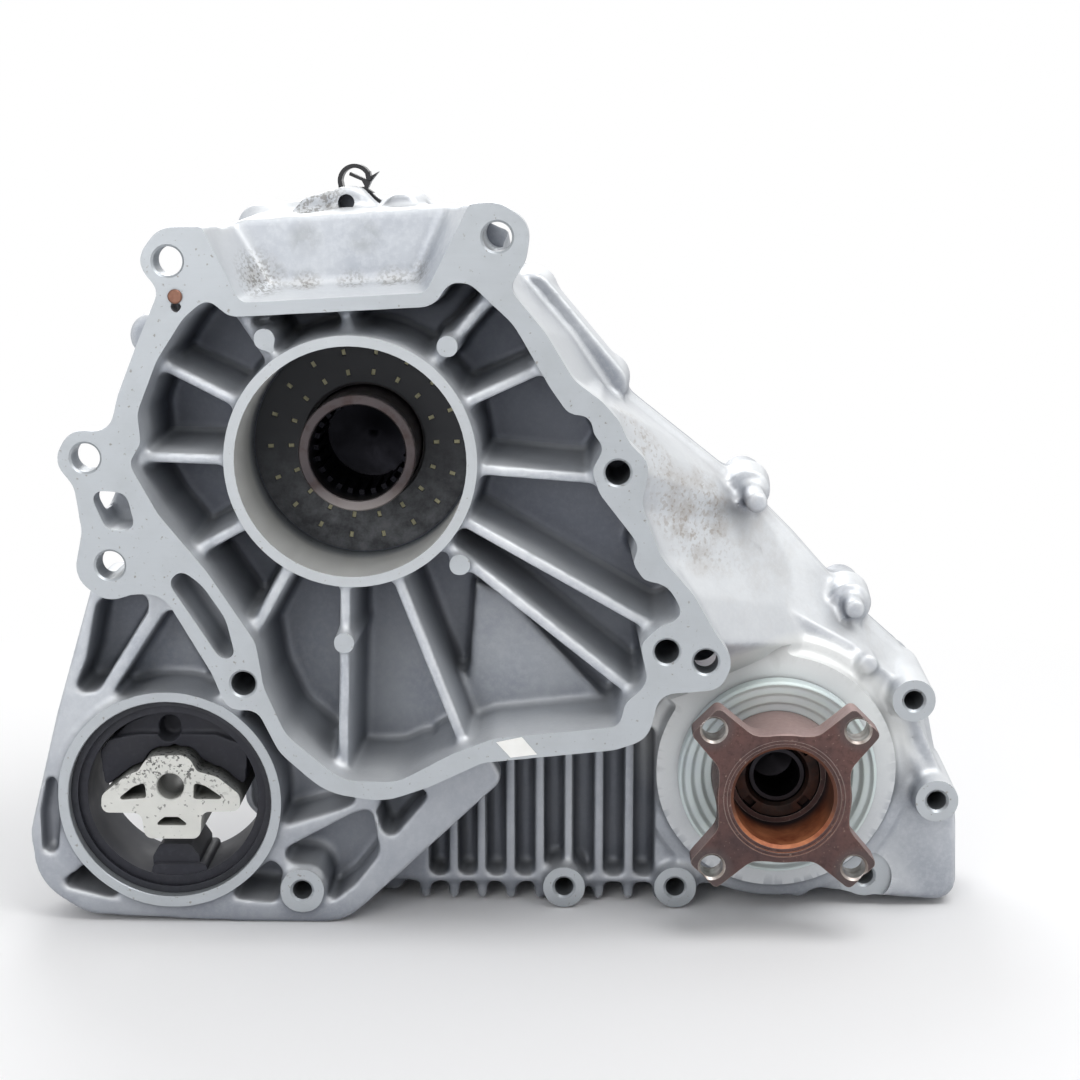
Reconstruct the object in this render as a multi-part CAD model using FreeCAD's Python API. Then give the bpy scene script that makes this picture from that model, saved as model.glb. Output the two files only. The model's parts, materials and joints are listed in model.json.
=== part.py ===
"""Chain-driven transfer case for an all-wheel-drive car, as an assembly of separate pieces.

Frame: the origin is on the main shaft's axis, in the machined face that bolts to the gearbox.
+X runs towards the front output shaft, +Y runs towards the rear of the car, +Z is up.
Lengths are in millimetres. Outlines are lists of corners (x, z, radius) seen from the gearbox.
"""
import FreeCAD, Part
import math
import os

V = FreeCAD.Vector
BACK = V(0, 1, 0)

# ---------------------------------------------------------------- driving dimensions
MAIN = (0.0, 0.0)                  # main shaft axis
OUT = (186.7, -150.0)              # front output shaft axis
MOUNT = (-87.6, -158.6)            # rubber mount axis
FLOOR = -217.5                     # the surface that the case stands on

FACE = 0.0                         # gearbox mating face
LAND = 13.0                        # thickness of the mating flange and its ears
BELL_FLOOR = 58.0                  # front of the bell's floor
FRONT_WALL = 64.0                  # back of the front wall, inside the chain space
JOINT = 100.0                      # plane where the two housings meet
JOINT_RIM = 9.0                    # thickness of each joint rim
WALL = 6.0                         # casting wall

PILOT_BORE = 49.0                  # radius that centres the gearbox tail
PILOT_SEAT = 24.0                  # depth where the centring bore ends
PILOT_RELIEF = 49.6                # radius of the plain bore behind it
PILOT_END = 57.2                   # depth where that bore stops
PILOT_RIM = 53.4                   # outer radius of the pilot ring at its front edge
PILOT_ROOT = 57.0                  # the same at the bell's floor

MOUNT_BORE = 45.8
MOUNT_FACE = 32.0                  # front of the mount bracket
MOUNT_BACK = 78.0
BRACKET_BASE = 62.0                # depth where the bracket's pockets end

FLANGE_FACE = 10.0                 # front of the front output flange
FLANGE_PLATE = 13.0
FLANGE_PCD = 88.6
FLANGE_HOLE = 5.1
FLANGE_SOCKET = 22.0               # bore that centres the propeller shaft's joint
OUT_BOSS_FACE = 50.0               # front of the casting round the front output

BOLT_R = 4.0                       # M8 case bolts
BOLT_HOLE = 4.4
BOLT_TIP = 86.0                    # front end of the case bolts' shanks
BOSS_R = 9.8

# Case bolts: (x, z, front of the boss, whether its threaded hole opens at the front)
CASE_BOLTS = [
    (-28.9, -201.5, MOUNT_FACE - 2, True),
    (90.0, -207.4, 52.0, True),
    (141.6, -207.2, 52.0, True),
    (229.8, -203.0, 58.0, True),
    (259.6, -161.8, 44.0, True),
    (247.6, -114.6, 44.0, True),
    (222.5, -78.0, 79.0, False),
    (174.5, -25.0, 80.0, False),
    (108.5, 25.5, 72.0, False),
    (75.0, 65.5, 71.0, False),
    (17.8, 100.4, 66.0, False),
    (-46.0, 95.5, 66.0, False),
    (-96.0, 47.0, 66.0, False),
    (-102.0, -30.0, 74.0, False),
]
# Mounting holes in the mating flange: (x, z, hole radius, depth)
EAR_BIG, EAR_SMALL = 6.1, 5.3
EARS = [
    (-74.0, 84.0, EAR_BIG, 15.0),
    (62.2, 94.0, EAR_BIG, 40.0),
    (-111.7, 1.8, EAR_BIG, 15.5),
    (-103.1, -44.4, EAR_BIG, 38.0),
    (-47.8, -96.2, EAR_SMALL, 46.0),
    (112.5, -3.9, EAR_SMALL, 48.0),
    (134.0, -81.2, EAR_SMALL, 44.0),
    (150.7, -85.5, EAR_SMALL, 42.0),
]
# Ribs of the bell: (angle at the pilot ring, end x, end z, depth of the crest at that end)
RIBS = [
    (90.0, -4.0, 64.0, 22.0),
    (128.0, -50.0, 64.0, 20.0),
    (50.0, 60.0, 70.0, 16.0),
    (27.0, 84.0, 40.0, 16.0),
    (-4.0, 104.0, -8.5, 12.0),
    (-29.0, 131.0, -75.0, 12.0),
    (-43.0, 124.0, -106.0, 12.0),
    (-70.0, 46.0, -125.0, 10.0),
    (-94.0, -7.0, -140.0, 12.0),
    (-121.0, -50.0, -86.0, 12.0),
    (-149.0, -82.0, -48.0, 12.0),
    (180.0, -94.0, 0.5, 12.0),
    (153.0, -83.0, 41.0, 14.0),
]
PADS = [(-35.5, 51.5), (41.0, 48.5), (45.5, -44.5), (-4.5, -79.0)]   # ejector pads on ribs
PAD_R = 4.6
FIN_X = [25.0, 38.3, 51.6, 65.0, 78.5, 92.0, 106.0, 120.0, 134.0]
FIN_FACE = 60.0
FIN_WALL = 76.0

DOME = 88.0                        # outside radius of the clutch dome in the rear housing
DOME_BACK = 171.0
REAR_FLAT = 124.0                  # rear face of the rear housing's flat part
BEARING_BOSS_BACK = 198.0

# Ball bearings: (axis, bore radius, outer radius, front, back, ball radius, balls)
BEARINGS = {
    "input_bearing": (MAIN, 27.5, 42.5, 70.0, 86.0, 4.4, 13),
    "rear_bearing": (MAIN, 17.5, 36.0, 173.0, 189.0, 5.4, 9),
    "output_bearing": (OUT, 22.0, 42.0, 63.5, 80.5, 5.8, 9),
    "output_tail_bearing": (OUT, 15.0, 31.0, 112.5, 128.0, 4.7, 9),
}
PRESS = 0.02                       # gap left between a bearing and its seat

CHAIN_PITCH = 9.525
SPROCKET_TEETH = 28
CHAIN_LINKS = 82
CHAIN_FRONT, CHAIN_BACK = 88.0, 108.0
SPROCKET_TIP, SPROCKET_ROOT = 43.6, 39.6
CHAIN_INSIDE = 44.1                # radius where the chain runs round a sprocket
CHAIN_DEEP = 7.2                   # height of a link

DRUM_R = 68.0
PLATE_PAIRS = 6
PLATE_T = 1.8
PLATE_PITCH = 4.1
PACK_FRONT = 117.0
PRESSURE_FRONT = 143.4
HUB_R = 45.0

RAMP_RADIUS = 52.0                 # circle that the ramp balls run on
RAMP_BALL = 3.0
SECTOR_MODULE, SECTOR_TEETH = 1.5, 96
PINION_TEETH = 12
PINION_ANGLE = -70.0               # direction from the main axis to the pinion
WHEEL_MODULE, WHEEL_TEETH, MOTOR_TEETH = 1.0, 48, 10
MOTOR_ANGLE = -60.0                # direction from the pinion to the motor
BACKLASH = 0.25

# ---------------------------------------------------------------- shape helpers
def rounded_edges(corners, y):
    """Edges of a closed outline at depth y, each corner (x, z, radius) rounded by its radius."""
    count = len(corners)
    starts, mids, ends = [], [], []
    for i in range(count):
        before, here, after = corners[i - 1], corners[i], corners[(i + 1) % count]
        corner = V(here[0], y, here[1])
        a = V(before[0], y, before[1]) - corner
        b = V(after[0], y, after[1]) - corner
        room = 0.49 * min(a.Length, b.Length)
        a.normalize()
        b.normalize()
        half = a.getAngle(b) / 2
        radius = here[2] if len(here) > 2 else 0.0
        reach = min(radius / math.tan(half), room) if radius and half < math.pi / 2 - 0.01 else 0.0
        starts.append(corner + a * reach)
        ends.append(corner + b * reach)
        if reach:
            radius = reach * math.tan(half)
            to_centre = (a + b).normalize() * (reach / math.cos(half))
            mids.append(corner + to_centre - to_centre.normalize() * radius)
        else:
            mids.append(None)
    edges = []
    for i in range(count):
        if mids[i]:
            edges.append(Part.Arc(starts[i], mids[i], ends[i]).toShape())
        following = starts[(i + 1) % count]
        if (ends[i] - following).Length > 1e-6:
            edges.append(Part.LineSegment(ends[i], following).toShape())
    return edges


def outline(corners, y):
    return Part.Wire(rounded_edges(corners, y))


def plate(corners, y0, y1):
    """Solid between depths y0 and y1 with the given outline."""
    return Part.Face(outline(corners, y0)).extrude(V(0, y1 - y0, 0))


def loft(front, y0, back, y1):
    """Solid from one outline to another that has as many corners."""
    return Part.makeLoft([outline(front, y0), outline(back, y1)], True, True)


def disc(centre, radius, y0, y1):
    return Part.makeCylinder(radius, y1 - y0, V(centre[0], y0, centre[1]), BACK)


def cone(centre, r0, y0, r1, y1):
    return Part.makeCone(r0, r1, y1 - y0, V(centre[0], y0, centre[1]), BACK)


def ring(centre, inner, outer, y0, y1):
    return disc(centre, outer, y0, y1).cut(disc(centre, inner, y0 - 1, y1 + 1))


def chamfered_disc(centre, radius, y0, y1, chamfer):
    """Disc with a chamfer on both edges."""
    body = disc(centre, radius, y0 + chamfer, y1 - chamfer)
    front = cone(centre, radius - chamfer, y0, radius, y0 + chamfer)
    back = cone(centre, radius, y1 - chamfer, radius - chamfer, y1)
    return body.fuse([front, back])


def turned(centre, profile):
    """Solid of revolution about a Y axis. profile is a closed list of (radius, y)."""
    points = [V(centre[0] + r, y, centre[1]) for r, y in profile]
    face = Part.Face(Part.makePolygon(points + points[:1]))
    return face.revolve(V(centre[0], 0, centre[1]), BACK, 360)


def box(x0, x1, y0, y1, z0, z1):
    return Part.makeBox(x1 - x0, y1 - y0, z1 - z0, V(x0, y0, z0))


def polar(centre, radius, degrees):
    a = math.radians(degrees)
    return centre[0] + radius * math.cos(a), centre[1] + radius * math.sin(a)


def grown(corners, amount):
    """The outline moved outwards (or inwards for a negative amount), corner by corner."""
    count = len(corners)
    area = sum(corners[i - 1][0] * corners[i][1] - corners[i][0] * corners[i - 1][1] for i in range(count))
    sign = 1.0 if area > 0 else -1.0
    moved = []
    for i in range(count):
        before, here, after = corners[i - 1], corners[i], corners[(i + 1) % count]
        n0 = normal_of(before, here, sign)
        n1 = normal_of(here, after, sign)
        share = amount / max(1 + n0[0] * n1[0] + n0[1] * n1[1], 0.5)
        radius = here[2] if len(here) > 2 else 0.0
        moved.append((here[0] + (n0[0] + n1[0]) * share, here[1] + (n0[1] + n1[1]) * share, radius))
    return moved


def normal_of(a, b, sign):
    length = math.hypot(b[0] - a[0], b[1] - a[1])
    return sign * (b[1] - a[1]) / length, -sign * (b[0] - a[0]) / length


def rib(x0, z0, x1, z1, crest0, crest1, root, crest_t, root_t):
    """Tapered rib between two points, from its crest depths back to its root depth."""
    length = math.hypot(x1 - x0, z1 - z0)
    nx, nz = -(z1 - z0) / length, (x1 - x0) / length
    sections = []
    for x, z, crest in ((x0, z0, crest0), (x1, z1, crest1)):
        points = [
            V(x + nx * crest_t / 2, crest, z + nz * crest_t / 2),
            V(x + nx * root_t / 2, root, z + nz * root_t / 2),
            V(x - nx * root_t / 2, root, z - nz * root_t / 2),
            V(x - nx * crest_t / 2, crest, z - nz * crest_t / 2),
        ]
        sections.append(Part.makePolygon(points + points[:1]))
    return Part.makeLoft(sections, True, True)


def lobe(c0, r0, c1, r1, y0, y1):
    """Two discs of different size joined by their common tangents."""
    dx, dz = c1[0] - c0[0], c1[1] - c0[1]
    length = math.hypot(dx, dz)
    lean = math.acos((r0 - r1) / length)
    along = math.atan2(dz, dx)
    corners = []
    for centre, radius, side in ((c0, r0, 1), (c1, r1, 1), (c1, r1, -1), (c0, r0, -1)):
        a = along + side * lean
        corners.append((centre[0] + radius * math.cos(a), centre[1] + radius * math.sin(a)))
    return joined([disc(c0, r0, y0, y1), disc(c1, r1, y0, y1), plate(corners, y0, y1)])


def torus(centre, radius, tube, y):
    return Part.makeTorus(radius, tube, V(centre[0], y, centre[1]), BACK)


def ball(centre, radius, degrees, size, y):
    x, z = polar(centre, radius, degrees)
    return Part.makeSphere(size, V(x, y, z))


def gear(centre, module, teeth, y0, y1, first_tooth):
    """Involute spur gear, 20 degree pressure angle; first_tooth is a tooth's direction in degrees."""
    pitch_r = module * teeth / 2
    base_r = pitch_r * math.cos(math.radians(20))
    tip_r = pitch_r + module
    root_r = pitch_r - 1.25 * module
    half = math.pi / (2 * teeth) - BACKLASH / (2 * pitch_r)
    inv = math.tan(math.radians(20)) - math.radians(20)
    points = []
    for i in range(teeth):
        middle = math.radians(first_tooth) + i * 2 * math.pi / teeth
        flank = []
        start = max(base_r, root_r)
        for step in range(4):
            r = start + (tip_r - start) * step / 3
            press = math.acos(min(1.0, base_r / r))
            flank.append((r, half + inv - (math.tan(press) - press)))
        foot = (flank[0][1] + math.pi / teeth) / 2
        points.append((root_r, middle - foot))
        points += [(r, middle - a) for r, a in flank]
        points += [(r, middle + a) for r, a in reversed(flank)]
        points.append((root_r, middle + foot))
    corners = [(centre[0] + r * math.cos(a), centre[1] + r * math.sin(a)) for r, a in points]
    return plate(corners, y0, y1)


def hexagon(centre, flats, y0, y1, turn=0.0):
    corners = [polar(centre, flats / math.sqrt(3), 60 * i + turn) for i in range(6)]
    return plate(corners, y0, y1)


def hex_bolt(x, z, head_front, radius, flats, head_h, tip):
    """Flanged hexagon bolt whose head looks back; its shank runs forwards to the depth tip."""
    return joined([
        disc((x, z), radius, tip, head_front),
        disc((x, z), flats * 0.66, head_front, head_front + 1.6),
        hexagon((x, z), flats, head_front + 1.6, head_front + head_h),
    ])


def joined(shapes):
    return shapes[0].multiFuse(shapes[1:]).removeSplitter() if len(shapes) > 1 else shapes[0]


def save(name, shape):
    solids = [shape] if isinstance(shape, Part.Solid) else shape.Solids
    for solid in solids:
        if not solid.isValid() or solid.Volume <= 0:
            print("NOT VALID", name, solid.Volume)
    result = solids[0] if len(solids) == 1 else Part.makeCompound(solids)
    result.exportStep("parts/" + name + ".step")
    print(f"{name:34s} {len(solids):3d} solids {result.Volume / 1000:9.1f} cm3")


# ---------------------------------------------------------------- outlines of the castings
FLANGE_OUTLINE = [
    (-62, 98, 4), (-47, 100, 3), (47, 107, 3), (62, 108.5, 14), (76.5, 100, 12), (74, 84, 8), (67, 73, 4),
    (82, 55, 20), (94, 35, 12), (106, 26, 12), (113, 18, 8), (117, 9, 6), (126, 0, 9), (122.5, -18, 12),
    (131, -40, 20), (145, -56, 20), (154, -72, 14), (163, -85, 11), (157, -98, 9), (131, -100, 8),
    (126.5, -120, 12), (112, -125, 8), (55, -131, 10), (32, -142, 20), (12, -149, 30), (-13, -145, 30),
    (-33, -127, 20), (-42, -108, 6), (-55, -108, 8), (-61, -92, 14), (-81, -57, 12), (-94, -57, 8),
    (-105, -60.5, 14), (-119, -50, 12), (-114.5, -30, 8), (-117, -10, 10), (-125.5, 0, 10), (-118, 14, 10),
    (-101, 12.5, 8), (-97, 28, 30), (-88, 50, 30), (-78, 72, 6), (-88, 84, 12), (-77, 98, 12),
]
CAVITY = [
    (-58, 69, 5), (-49, 61, 8), (36, 65.5, 10), (42, 75.5, 6), (51, 75, 6), (69, 58, 20), (84, 32, 12),
    (92, 20.5, 7), (101, 20.5, 6), (102.5, 12, 5), (107, 7, 4), (101.5, -3, 7), (105, -13, 8),
    (122, -35, 6), (119, -42.5, 4), (124, -50, 5), (134, -52, 10), (142, -66, 5), (131, -70, 5),
    (122.5, -78, 5), (126.5, -95, 8), (116.5, -104, 5), (114, -114.5, 4), (60, -120, 8), (42, -127, 14),
    (18, -140, 20), (-6, -139.5, 20), (-30, -119, 16), (-39, -98, 8), (-42, -78, 8), (-62, -47, 8),
    (-82, -22, 8), (-93.5, -0.5, 5), (-88, 8, 4), (-89, 21, 10), (-80, 43, 20), (-68, 61, 16),
]
# The chain case where it meets the rear housing, and the same corners at its front wall.
CASE = [
    (-103, 20, 8), (-95, 58, 8), (-72, 87, 8), (-40, 103, 8), (0, 106, 8), (34, 102, 8), (60, 84, 8),
    (80, 65, 8), (101, 42, 6), (118, 17, 8), (147, -6, 8), (172, -26, 8), (196, -50, 8), (212, -68, 8),
    (230, -88, 8), (247, -103, 8), (258.5, -126, 8), (264, -152, 6), (273, -174, 6), (274.5, -217, 10),
    (200, -213.5, 8), (120, -213, 8), (30, -213, 8), (-30, -212, 10), (-62, -180, 10), (-60, -140, 10),
    (-88, -92, 10), (-101, -55, 8), (-104, -18, 8),
]
CASE_FRONT = [
    (-96, 18, 8), (-89, 53, 8), (-67, 81, 8), (-38, 95, 8), (0, 98, 8), (28, 94, 8), (52, 80, 8),
    (70, 62, 8), (84, 40, 6), (98, 12, 8), (126, -14, 8), (152, -40, 8), (172, -62, 8), (196, -78, 8),
    (222, -92, 8), (238, -108, 8), (252, -128, 8), (260, -152, 6), (271, -168, 6), (273, -216, 10),
    (200, -208, 8), (120, -207, 8), (30, -207, 8), (-26, -206, 10), (-56, -176, 10), (-54, -138, 10),
    (-80, -90, 10), (-94, -53, 8), (-98, -16, 8),
]
# The shoulder that runs from the bell's right wall out to the joint rim.
SHOULDER_FRONT = [
    (40, 88), (58, 92), (64, 74), (80, 55), (92, 34), (105, 25), (112, 10), (121, -4), (119, -20),
    (128, -42), (142, -58), (152, -80), (120, -98), (100, -40), (92, -10), (84, 10), (60, 50), (44, 70),
]
SHOULDER_BACK = [
    (30, 96), (58, 84), (80, 65), (100, 42), (118, 17), (145, -5), (171, -25), (184, -38), (197, -51),
    (212, -68), (229, -87), (240, -102), (160, -140), (100, -60), (84, -20), (76, 5), (54, 40), (38, 62),
]
BRACKET = [
    (-118.5, -57, 4), (-138, -120, 40), (-152.5, -175, 22), (-150, -200, 26), (-128, -214.5, 22),
    (-60, FLOOR, 30), (-10, FLOOR, 22), (6, -203, 22), (63, -149, 6), (50, -126, 6), (10, -138, 10),
    (-34, -112, 10), (-50, -92, 6), (-78, -58, 6),
]
BRACKET_POCKETS = [
    [(-117, -66, 5), (-95, -64, 3), (-94.5, -71, 5), (-118.5, -108.5, 4), (-130, -110, 4), (-123, -94, 20)],
    [(-84.4, -68, 4), (-64.5, -100, 6), (-63.8, -112, 3), (-88, -109, 30), (-113.5, -112, 2)],
    [(-58, -118.5, 3), (-50, -115.5, 4), (-18, -152, 6), (1.5, -158.4, 3), (-39, -174, 2), (-37.5, -158, 20),
     (-43, -140, 20)],
    [(-37.5, -183, 8), (3, -161, 4), (6.5, -184, 8), (-5, -199, 8), (-20, -211, 4), (-17, -200, 6),
     (-20, -190, 8), (-35, -189, 3)],
    [(3.4, -158, 3), (33, -152, 3), (9.8, -180, 4)],
    [(-142, -200, 4), (-131.6, -193.5, 5), (-127.5, -188.5, 3), (-116, -200, 20), (-105, -208, 3),
     (-121, -205, 10)],
    [(-66, -206, 3), (-54, -197.5, 10), (-43, -187, 2), (-37.5, -193, 3), (-39.5, -200, 3),
     (-39.5, -208, 3)],
]
BRACKET_SLOT = [(-146.5, -152, 3), (-139.5, -146, 3), (-138, -165, 30), (-140.5, -185, 3), (-147, -185, 3)]


def front_housing():
    """The front casting: bell, chain case, shoulder and fins, with every machined bore."""
    flange = plate(FLANGE_OUTLINE, FACE, LAND)
    bell = loft(grown(CAVITY, WALL), FACE + 2, grown(CAVITY, WALL + 2), BELL_FLOOR + 3)
    left_land = plate([(-103, -10), (-92, 8), (-84, -24), (-60, -50), (-38, -84), (-44, -104), (-58, -98),
                       (-82, -55), (-104, -55), (-112, -32)], 4, 36)
    case = loft(CASE_FRONT, BELL_FLOOR, CASE, JOINT - JOINT_RIM)
    rim = plate(grown(CASE, 2.5), JOINT - JOINT_RIM, JOINT)
    shoulder = loft(SHOULDER_FRONT, 9.0, SHOULDER_BACK, JOINT - 4)
    crown = loft([(-64, 68), (-66, 96), (-47, 99.5), (47, 106.5), (66, 104), (54, 70)], FACE + 1,
                 [(-72, 62), (-70, 84), (-46, 102), (40, 105), (66, 86), (60, 62)], JOINT - 20)
    output = cone(OUT, 62.0, OUT_BOSS_FACE + 5, 70.0, JOINT - 8)
    output_step = cone(OUT, 54.0, OUT_BOSS_FACE, 56.5, OUT_BOSS_FACE + 6)
    strap = lobe((75.0, 65.5), BOSS_R, (108.5, 25.5), BOSS_R, 68, JOINT)
    pieces = [flange, bell, left_land, case, rim, shoulder, crown, output, output_step, strap]
    pieces += bosses() + fins() + lumps()
    body = joined(pieces)
    body = body.cut(hollows())
    body = joined([body, disc(MAIN, 50.5, BELL_FLOOR, 87), disc(OUT, 49.5, BELL_FLOOR, 81.5)])
    return body.cut(front_bores())


def bell_ribs(body):
    """Pilot ring, radial ribs and ejector pads of the same casting, up to the walls of its bell."""
    made = [cone(MAIN, PILOT_RIM, FACE, PILOT_ROOT, BELL_FLOOR)]
    for angle, x1, z1, crest in RIBS:
        x0, z0 = polar(MAIN, PILOT_RIM - 1, angle)
        made.append(rib(x0, z0, x1, z1, FACE + 7, crest, BELL_FLOOR + 1, 4.6, 9.5))
    for x, z in PADS:
        made.append(cone((x, z), PAD_R, FACE + 4, PAD_R + 1.2, BELL_FLOOR))
    return largest(joined(made).cut(front_bores()).cut(body))


def mount_bracket(body):
    """Webbed arm of the same casting that carries the rubber mount: a ring and deep pockets."""
    solid = plate(BRACKET, MOUNT_FACE, BRACKET_BASE + 8)
    for pocket in BRACKET_POCKETS:
        solid = solid.cut(plate(pocket, MOUNT_FACE - 1, BRACKET_BASE))
    solid = solid.cut(plate(BRACKET_SLOT, MOUNT_FACE - 1, MOUNT_FACE + 9))
    web = rib(7, -160, -40, -174, MOUNT_FACE + 1, MOUNT_FACE + 1, BRACKET_BASE + 1, 4.0, 6.0)
    mount_ring = disc(MOUNT, MOUNT_BORE + 4.6, MOUNT_FACE - 3, MOUNT_BACK + 2)
    solid = joined([solid, web, mount_ring])
    return largest(solid.cut(hollows()).cut(front_bores()).cut(body))


def largest(shape):
    """The biggest solid of a cut, without the slivers beside it."""
    return sorted(shape.Solids, key=lambda solid: solid.Volume)[-1]


def bosses():
    """A round boss at every case bolt, with the webs that tie the right-hand ones in."""
    made = []
    for x, z, front, opens in CASE_BOLTS:
        made.append(cone((x, z), BOSS_R, front, BOSS_R + 1.8, JOINT))
    for x0, z0, x1, z1, front in [(236, -124, 258, -158, 54), (228, -100, 246, -112, 56),
                                  (213, -98, 228, -100, 56), (236, -172, 257, -163, 56),
                                  (246, -118, 264, -158, 56), (150, -196, 158, -150, 62),
                                  (141, -150, 141, -206, 62), (150, -206, 200, -206, 66)]:
        made.append(rib(x0, z0, x1, z1, front, front, JOINT - 4, 4.0, 7.0))
    return made


def fins():
    """Cooling fins on the front and under side of the oil sump, with rounded lower ends."""
    made = []
    for x in FIN_X:
        made.append(rib(x, -118, x, -214, FIN_FACE, FIN_FACE, FIN_WALL + 10, 3.4, 5.8))
        made.append(disc((x, -214.2), 2.4, FIN_FACE, JOINT - 2))
        made.append(box(x - 2.4, x + 2.4, FIN_FACE + 0.5, JOINT - 2, -214.2, -204))
    return made


def lumps():
    """Ejector pads, lugs and the breather boss on the outside of the casting."""
    return [
        disc((176.0, -26.2), 5.0, 54, 90),
        disc((227.5, -100), 4.8, 51, 90),
        disc((223.1, -77.8), 4.7, 66, 92),
        disc((234, -175), 4.8, 54, 92),
        cone((113.5, 26), 4.0, 70, 5.5, 92),
        disc((153, -80), 7.0, 30, 80),
        disc((65, -206), 5.0, FIN_FACE - 1, 96),
        disc((25.4, -206), 4.4, FIN_FACE - 1, 96),
        disc((199, -208), 5.2, 56, 96),
        disc((9, -209), 6.0, 66, 96),
        disc((-4.8, 106), 7.6, 46, 58),
        plate([(-30, 99), (-28.5, 103), (-24, 108.5, 4), (-6, 113.5, 6), (1, 113.5, 4), (12, 102)], 48, 58),
        plate([(-9, 98), (-9, 103.8, 3), (5, 103.8, 3), (5, 98)], 58, 76),
        disc((-2, 108.6), 2.4, 57, 72),
    ]


def hollows():
    """Everything the sand cores and the die leave empty."""
    cavity = loft(CAVITY, FACE - 1, grown(CAVITY, -1.5), BELL_FLOOR)
    raised = plate([(50, -60), (64, -66), (112, -118), (130, -108), (132, -125), (56, -130), (46, -112)],
                   44, BELL_FLOOR + 1)
    cavity = cavity.cut(raised)
    chain_space = loft(grown(CASE_FRONT, -WALL), FRONT_WALL, grown(CASE, -WALL), JOINT + 0.5)
    sump_wall = box(12, 150, FRONT_WALL - 1, FIN_WALL + WALL, FLOOR, -112)
    chain_space = chain_space.cut(sump_wall)
    tray = loft([(-67, 112), (-45.3, 66.4), (33.2, 70.8), (54, 112)], FACE - 0.5,
                [(-58, 112), (-34.3, 72.1), (27, 75), (43.7, 112)], 25)
    dowel_groove = plate([(-74.3, 67, 0.8), (-68.1, 67, 0.8), (-71.6, 57, 0.8)], FACE - 1, 9)
    slot_one = plate([(-111, -12, 3), (-95, -13, 4), (-91.5, -29, 2), (-104, -29, 3)], FACE - 1, 26)
    slot_two = plate([(-78.5, -52, 2.8), (-73.5, -45.6, 4), (-64, -53, 14), (-54.5, -67.5, 14),
                      (-50.5, -85.5, 4), (-57.5, -85, 3), (-66, -71.5, 20)], FACE - 1, 30)
    valleys = []
    for a, b in zip(FIN_X[:-1], FIN_X[1:]):
        valleys.append(box(a + 2.3, b - 2.3, BELL_FLOOR - 14, FIN_WALL, -204, -131))
    below = box(-200, 400, FACE - 40, JOINT + 40, FLOOR - 30, FLOOR)
    return Part.makeCompound([cavity, chain_space, tray, slot_one, slot_two, dowel_groove, below] + valleys)


def front_bores():
    """Machined bores and bolt holes of the front casting."""
    cuts = [
        disc(MAIN, PILOT_BORE, FACE - 2, PILOT_SEAT),
        disc(MAIN, PILOT_RELIEF, PILOT_SEAT, PILOT_END),
        disc(MAIN, 34.0, PILOT_END - 1, 69.8),
        disc(MAIN, 42.5 + PRESS, 69.8, 90),
        disc(OUT, 40.0, OUT_BOSS_FACE - 8, 60.5),
        disc(OUT, 36.0, 60, 64),
        disc(OUT, 42.0 + PRESS, 63.3, 84),
        disc(MOUNT, MOUNT_BORE, MOUNT_FACE - 8, MOUNT_BACK + 8),
        disc((-4.8, 106.6), 3.6, 44, 56),
        disc((-71.3, 69.5), 3.02, FACE - 2, 16),
    ]
    for x, z, hole, depth in EARS:
        cuts.append(disc((x, z), hole, FACE - 2, depth))
        cuts.append(cone((x, z), hole + 1.0, FACE - 0.2, hole, FACE + 0.9))
    for x, z, front, opens in CASE_BOLTS:
        start = front - 2 if opens else BOLT_TIP - 0.6
        cuts.append(disc((x, z), BOLT_HOLE, start, JOINT + 2))
        if opens:
            cuts.append(cone((x, z), BOLT_HOLE + 1.2, front - 0.2, BOLT_HOLE, front + 1.0))
    return Part.makeCompound(cuts)


# ---------------------------------------------------------------- rear casting
PINION = polar(MAIN, (SECTOR_TEETH + PINION_TEETH) * SECTOR_MODULE / 2, PINION_ANGLE)
MOTOR = polar(PINION, (WHEEL_TEETH + MOTOR_TEETH) * WHEEL_MODULE / 2, MOTOR_ANGLE)
ACTUATOR_BOLTS = [polar(PINION, 39, 196), polar(PINION, 39, 24), polar(MOTOR, 42, -55), polar(MOTOR, 42, -162)]
FILL = (96.0, -150.0)
DRAIN = (34.0, -190.0)


def nearest_axis(x, z):
    """The actuator axis that a bolt's lug belongs to."""
    to_pinion = math.hypot(x - PINION[0], z - PINION[1])
    to_motor = math.hypot(x - MOTOR[0], z - MOTOR[1])
    return PINION if to_pinion < to_motor else MOTOR


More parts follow.
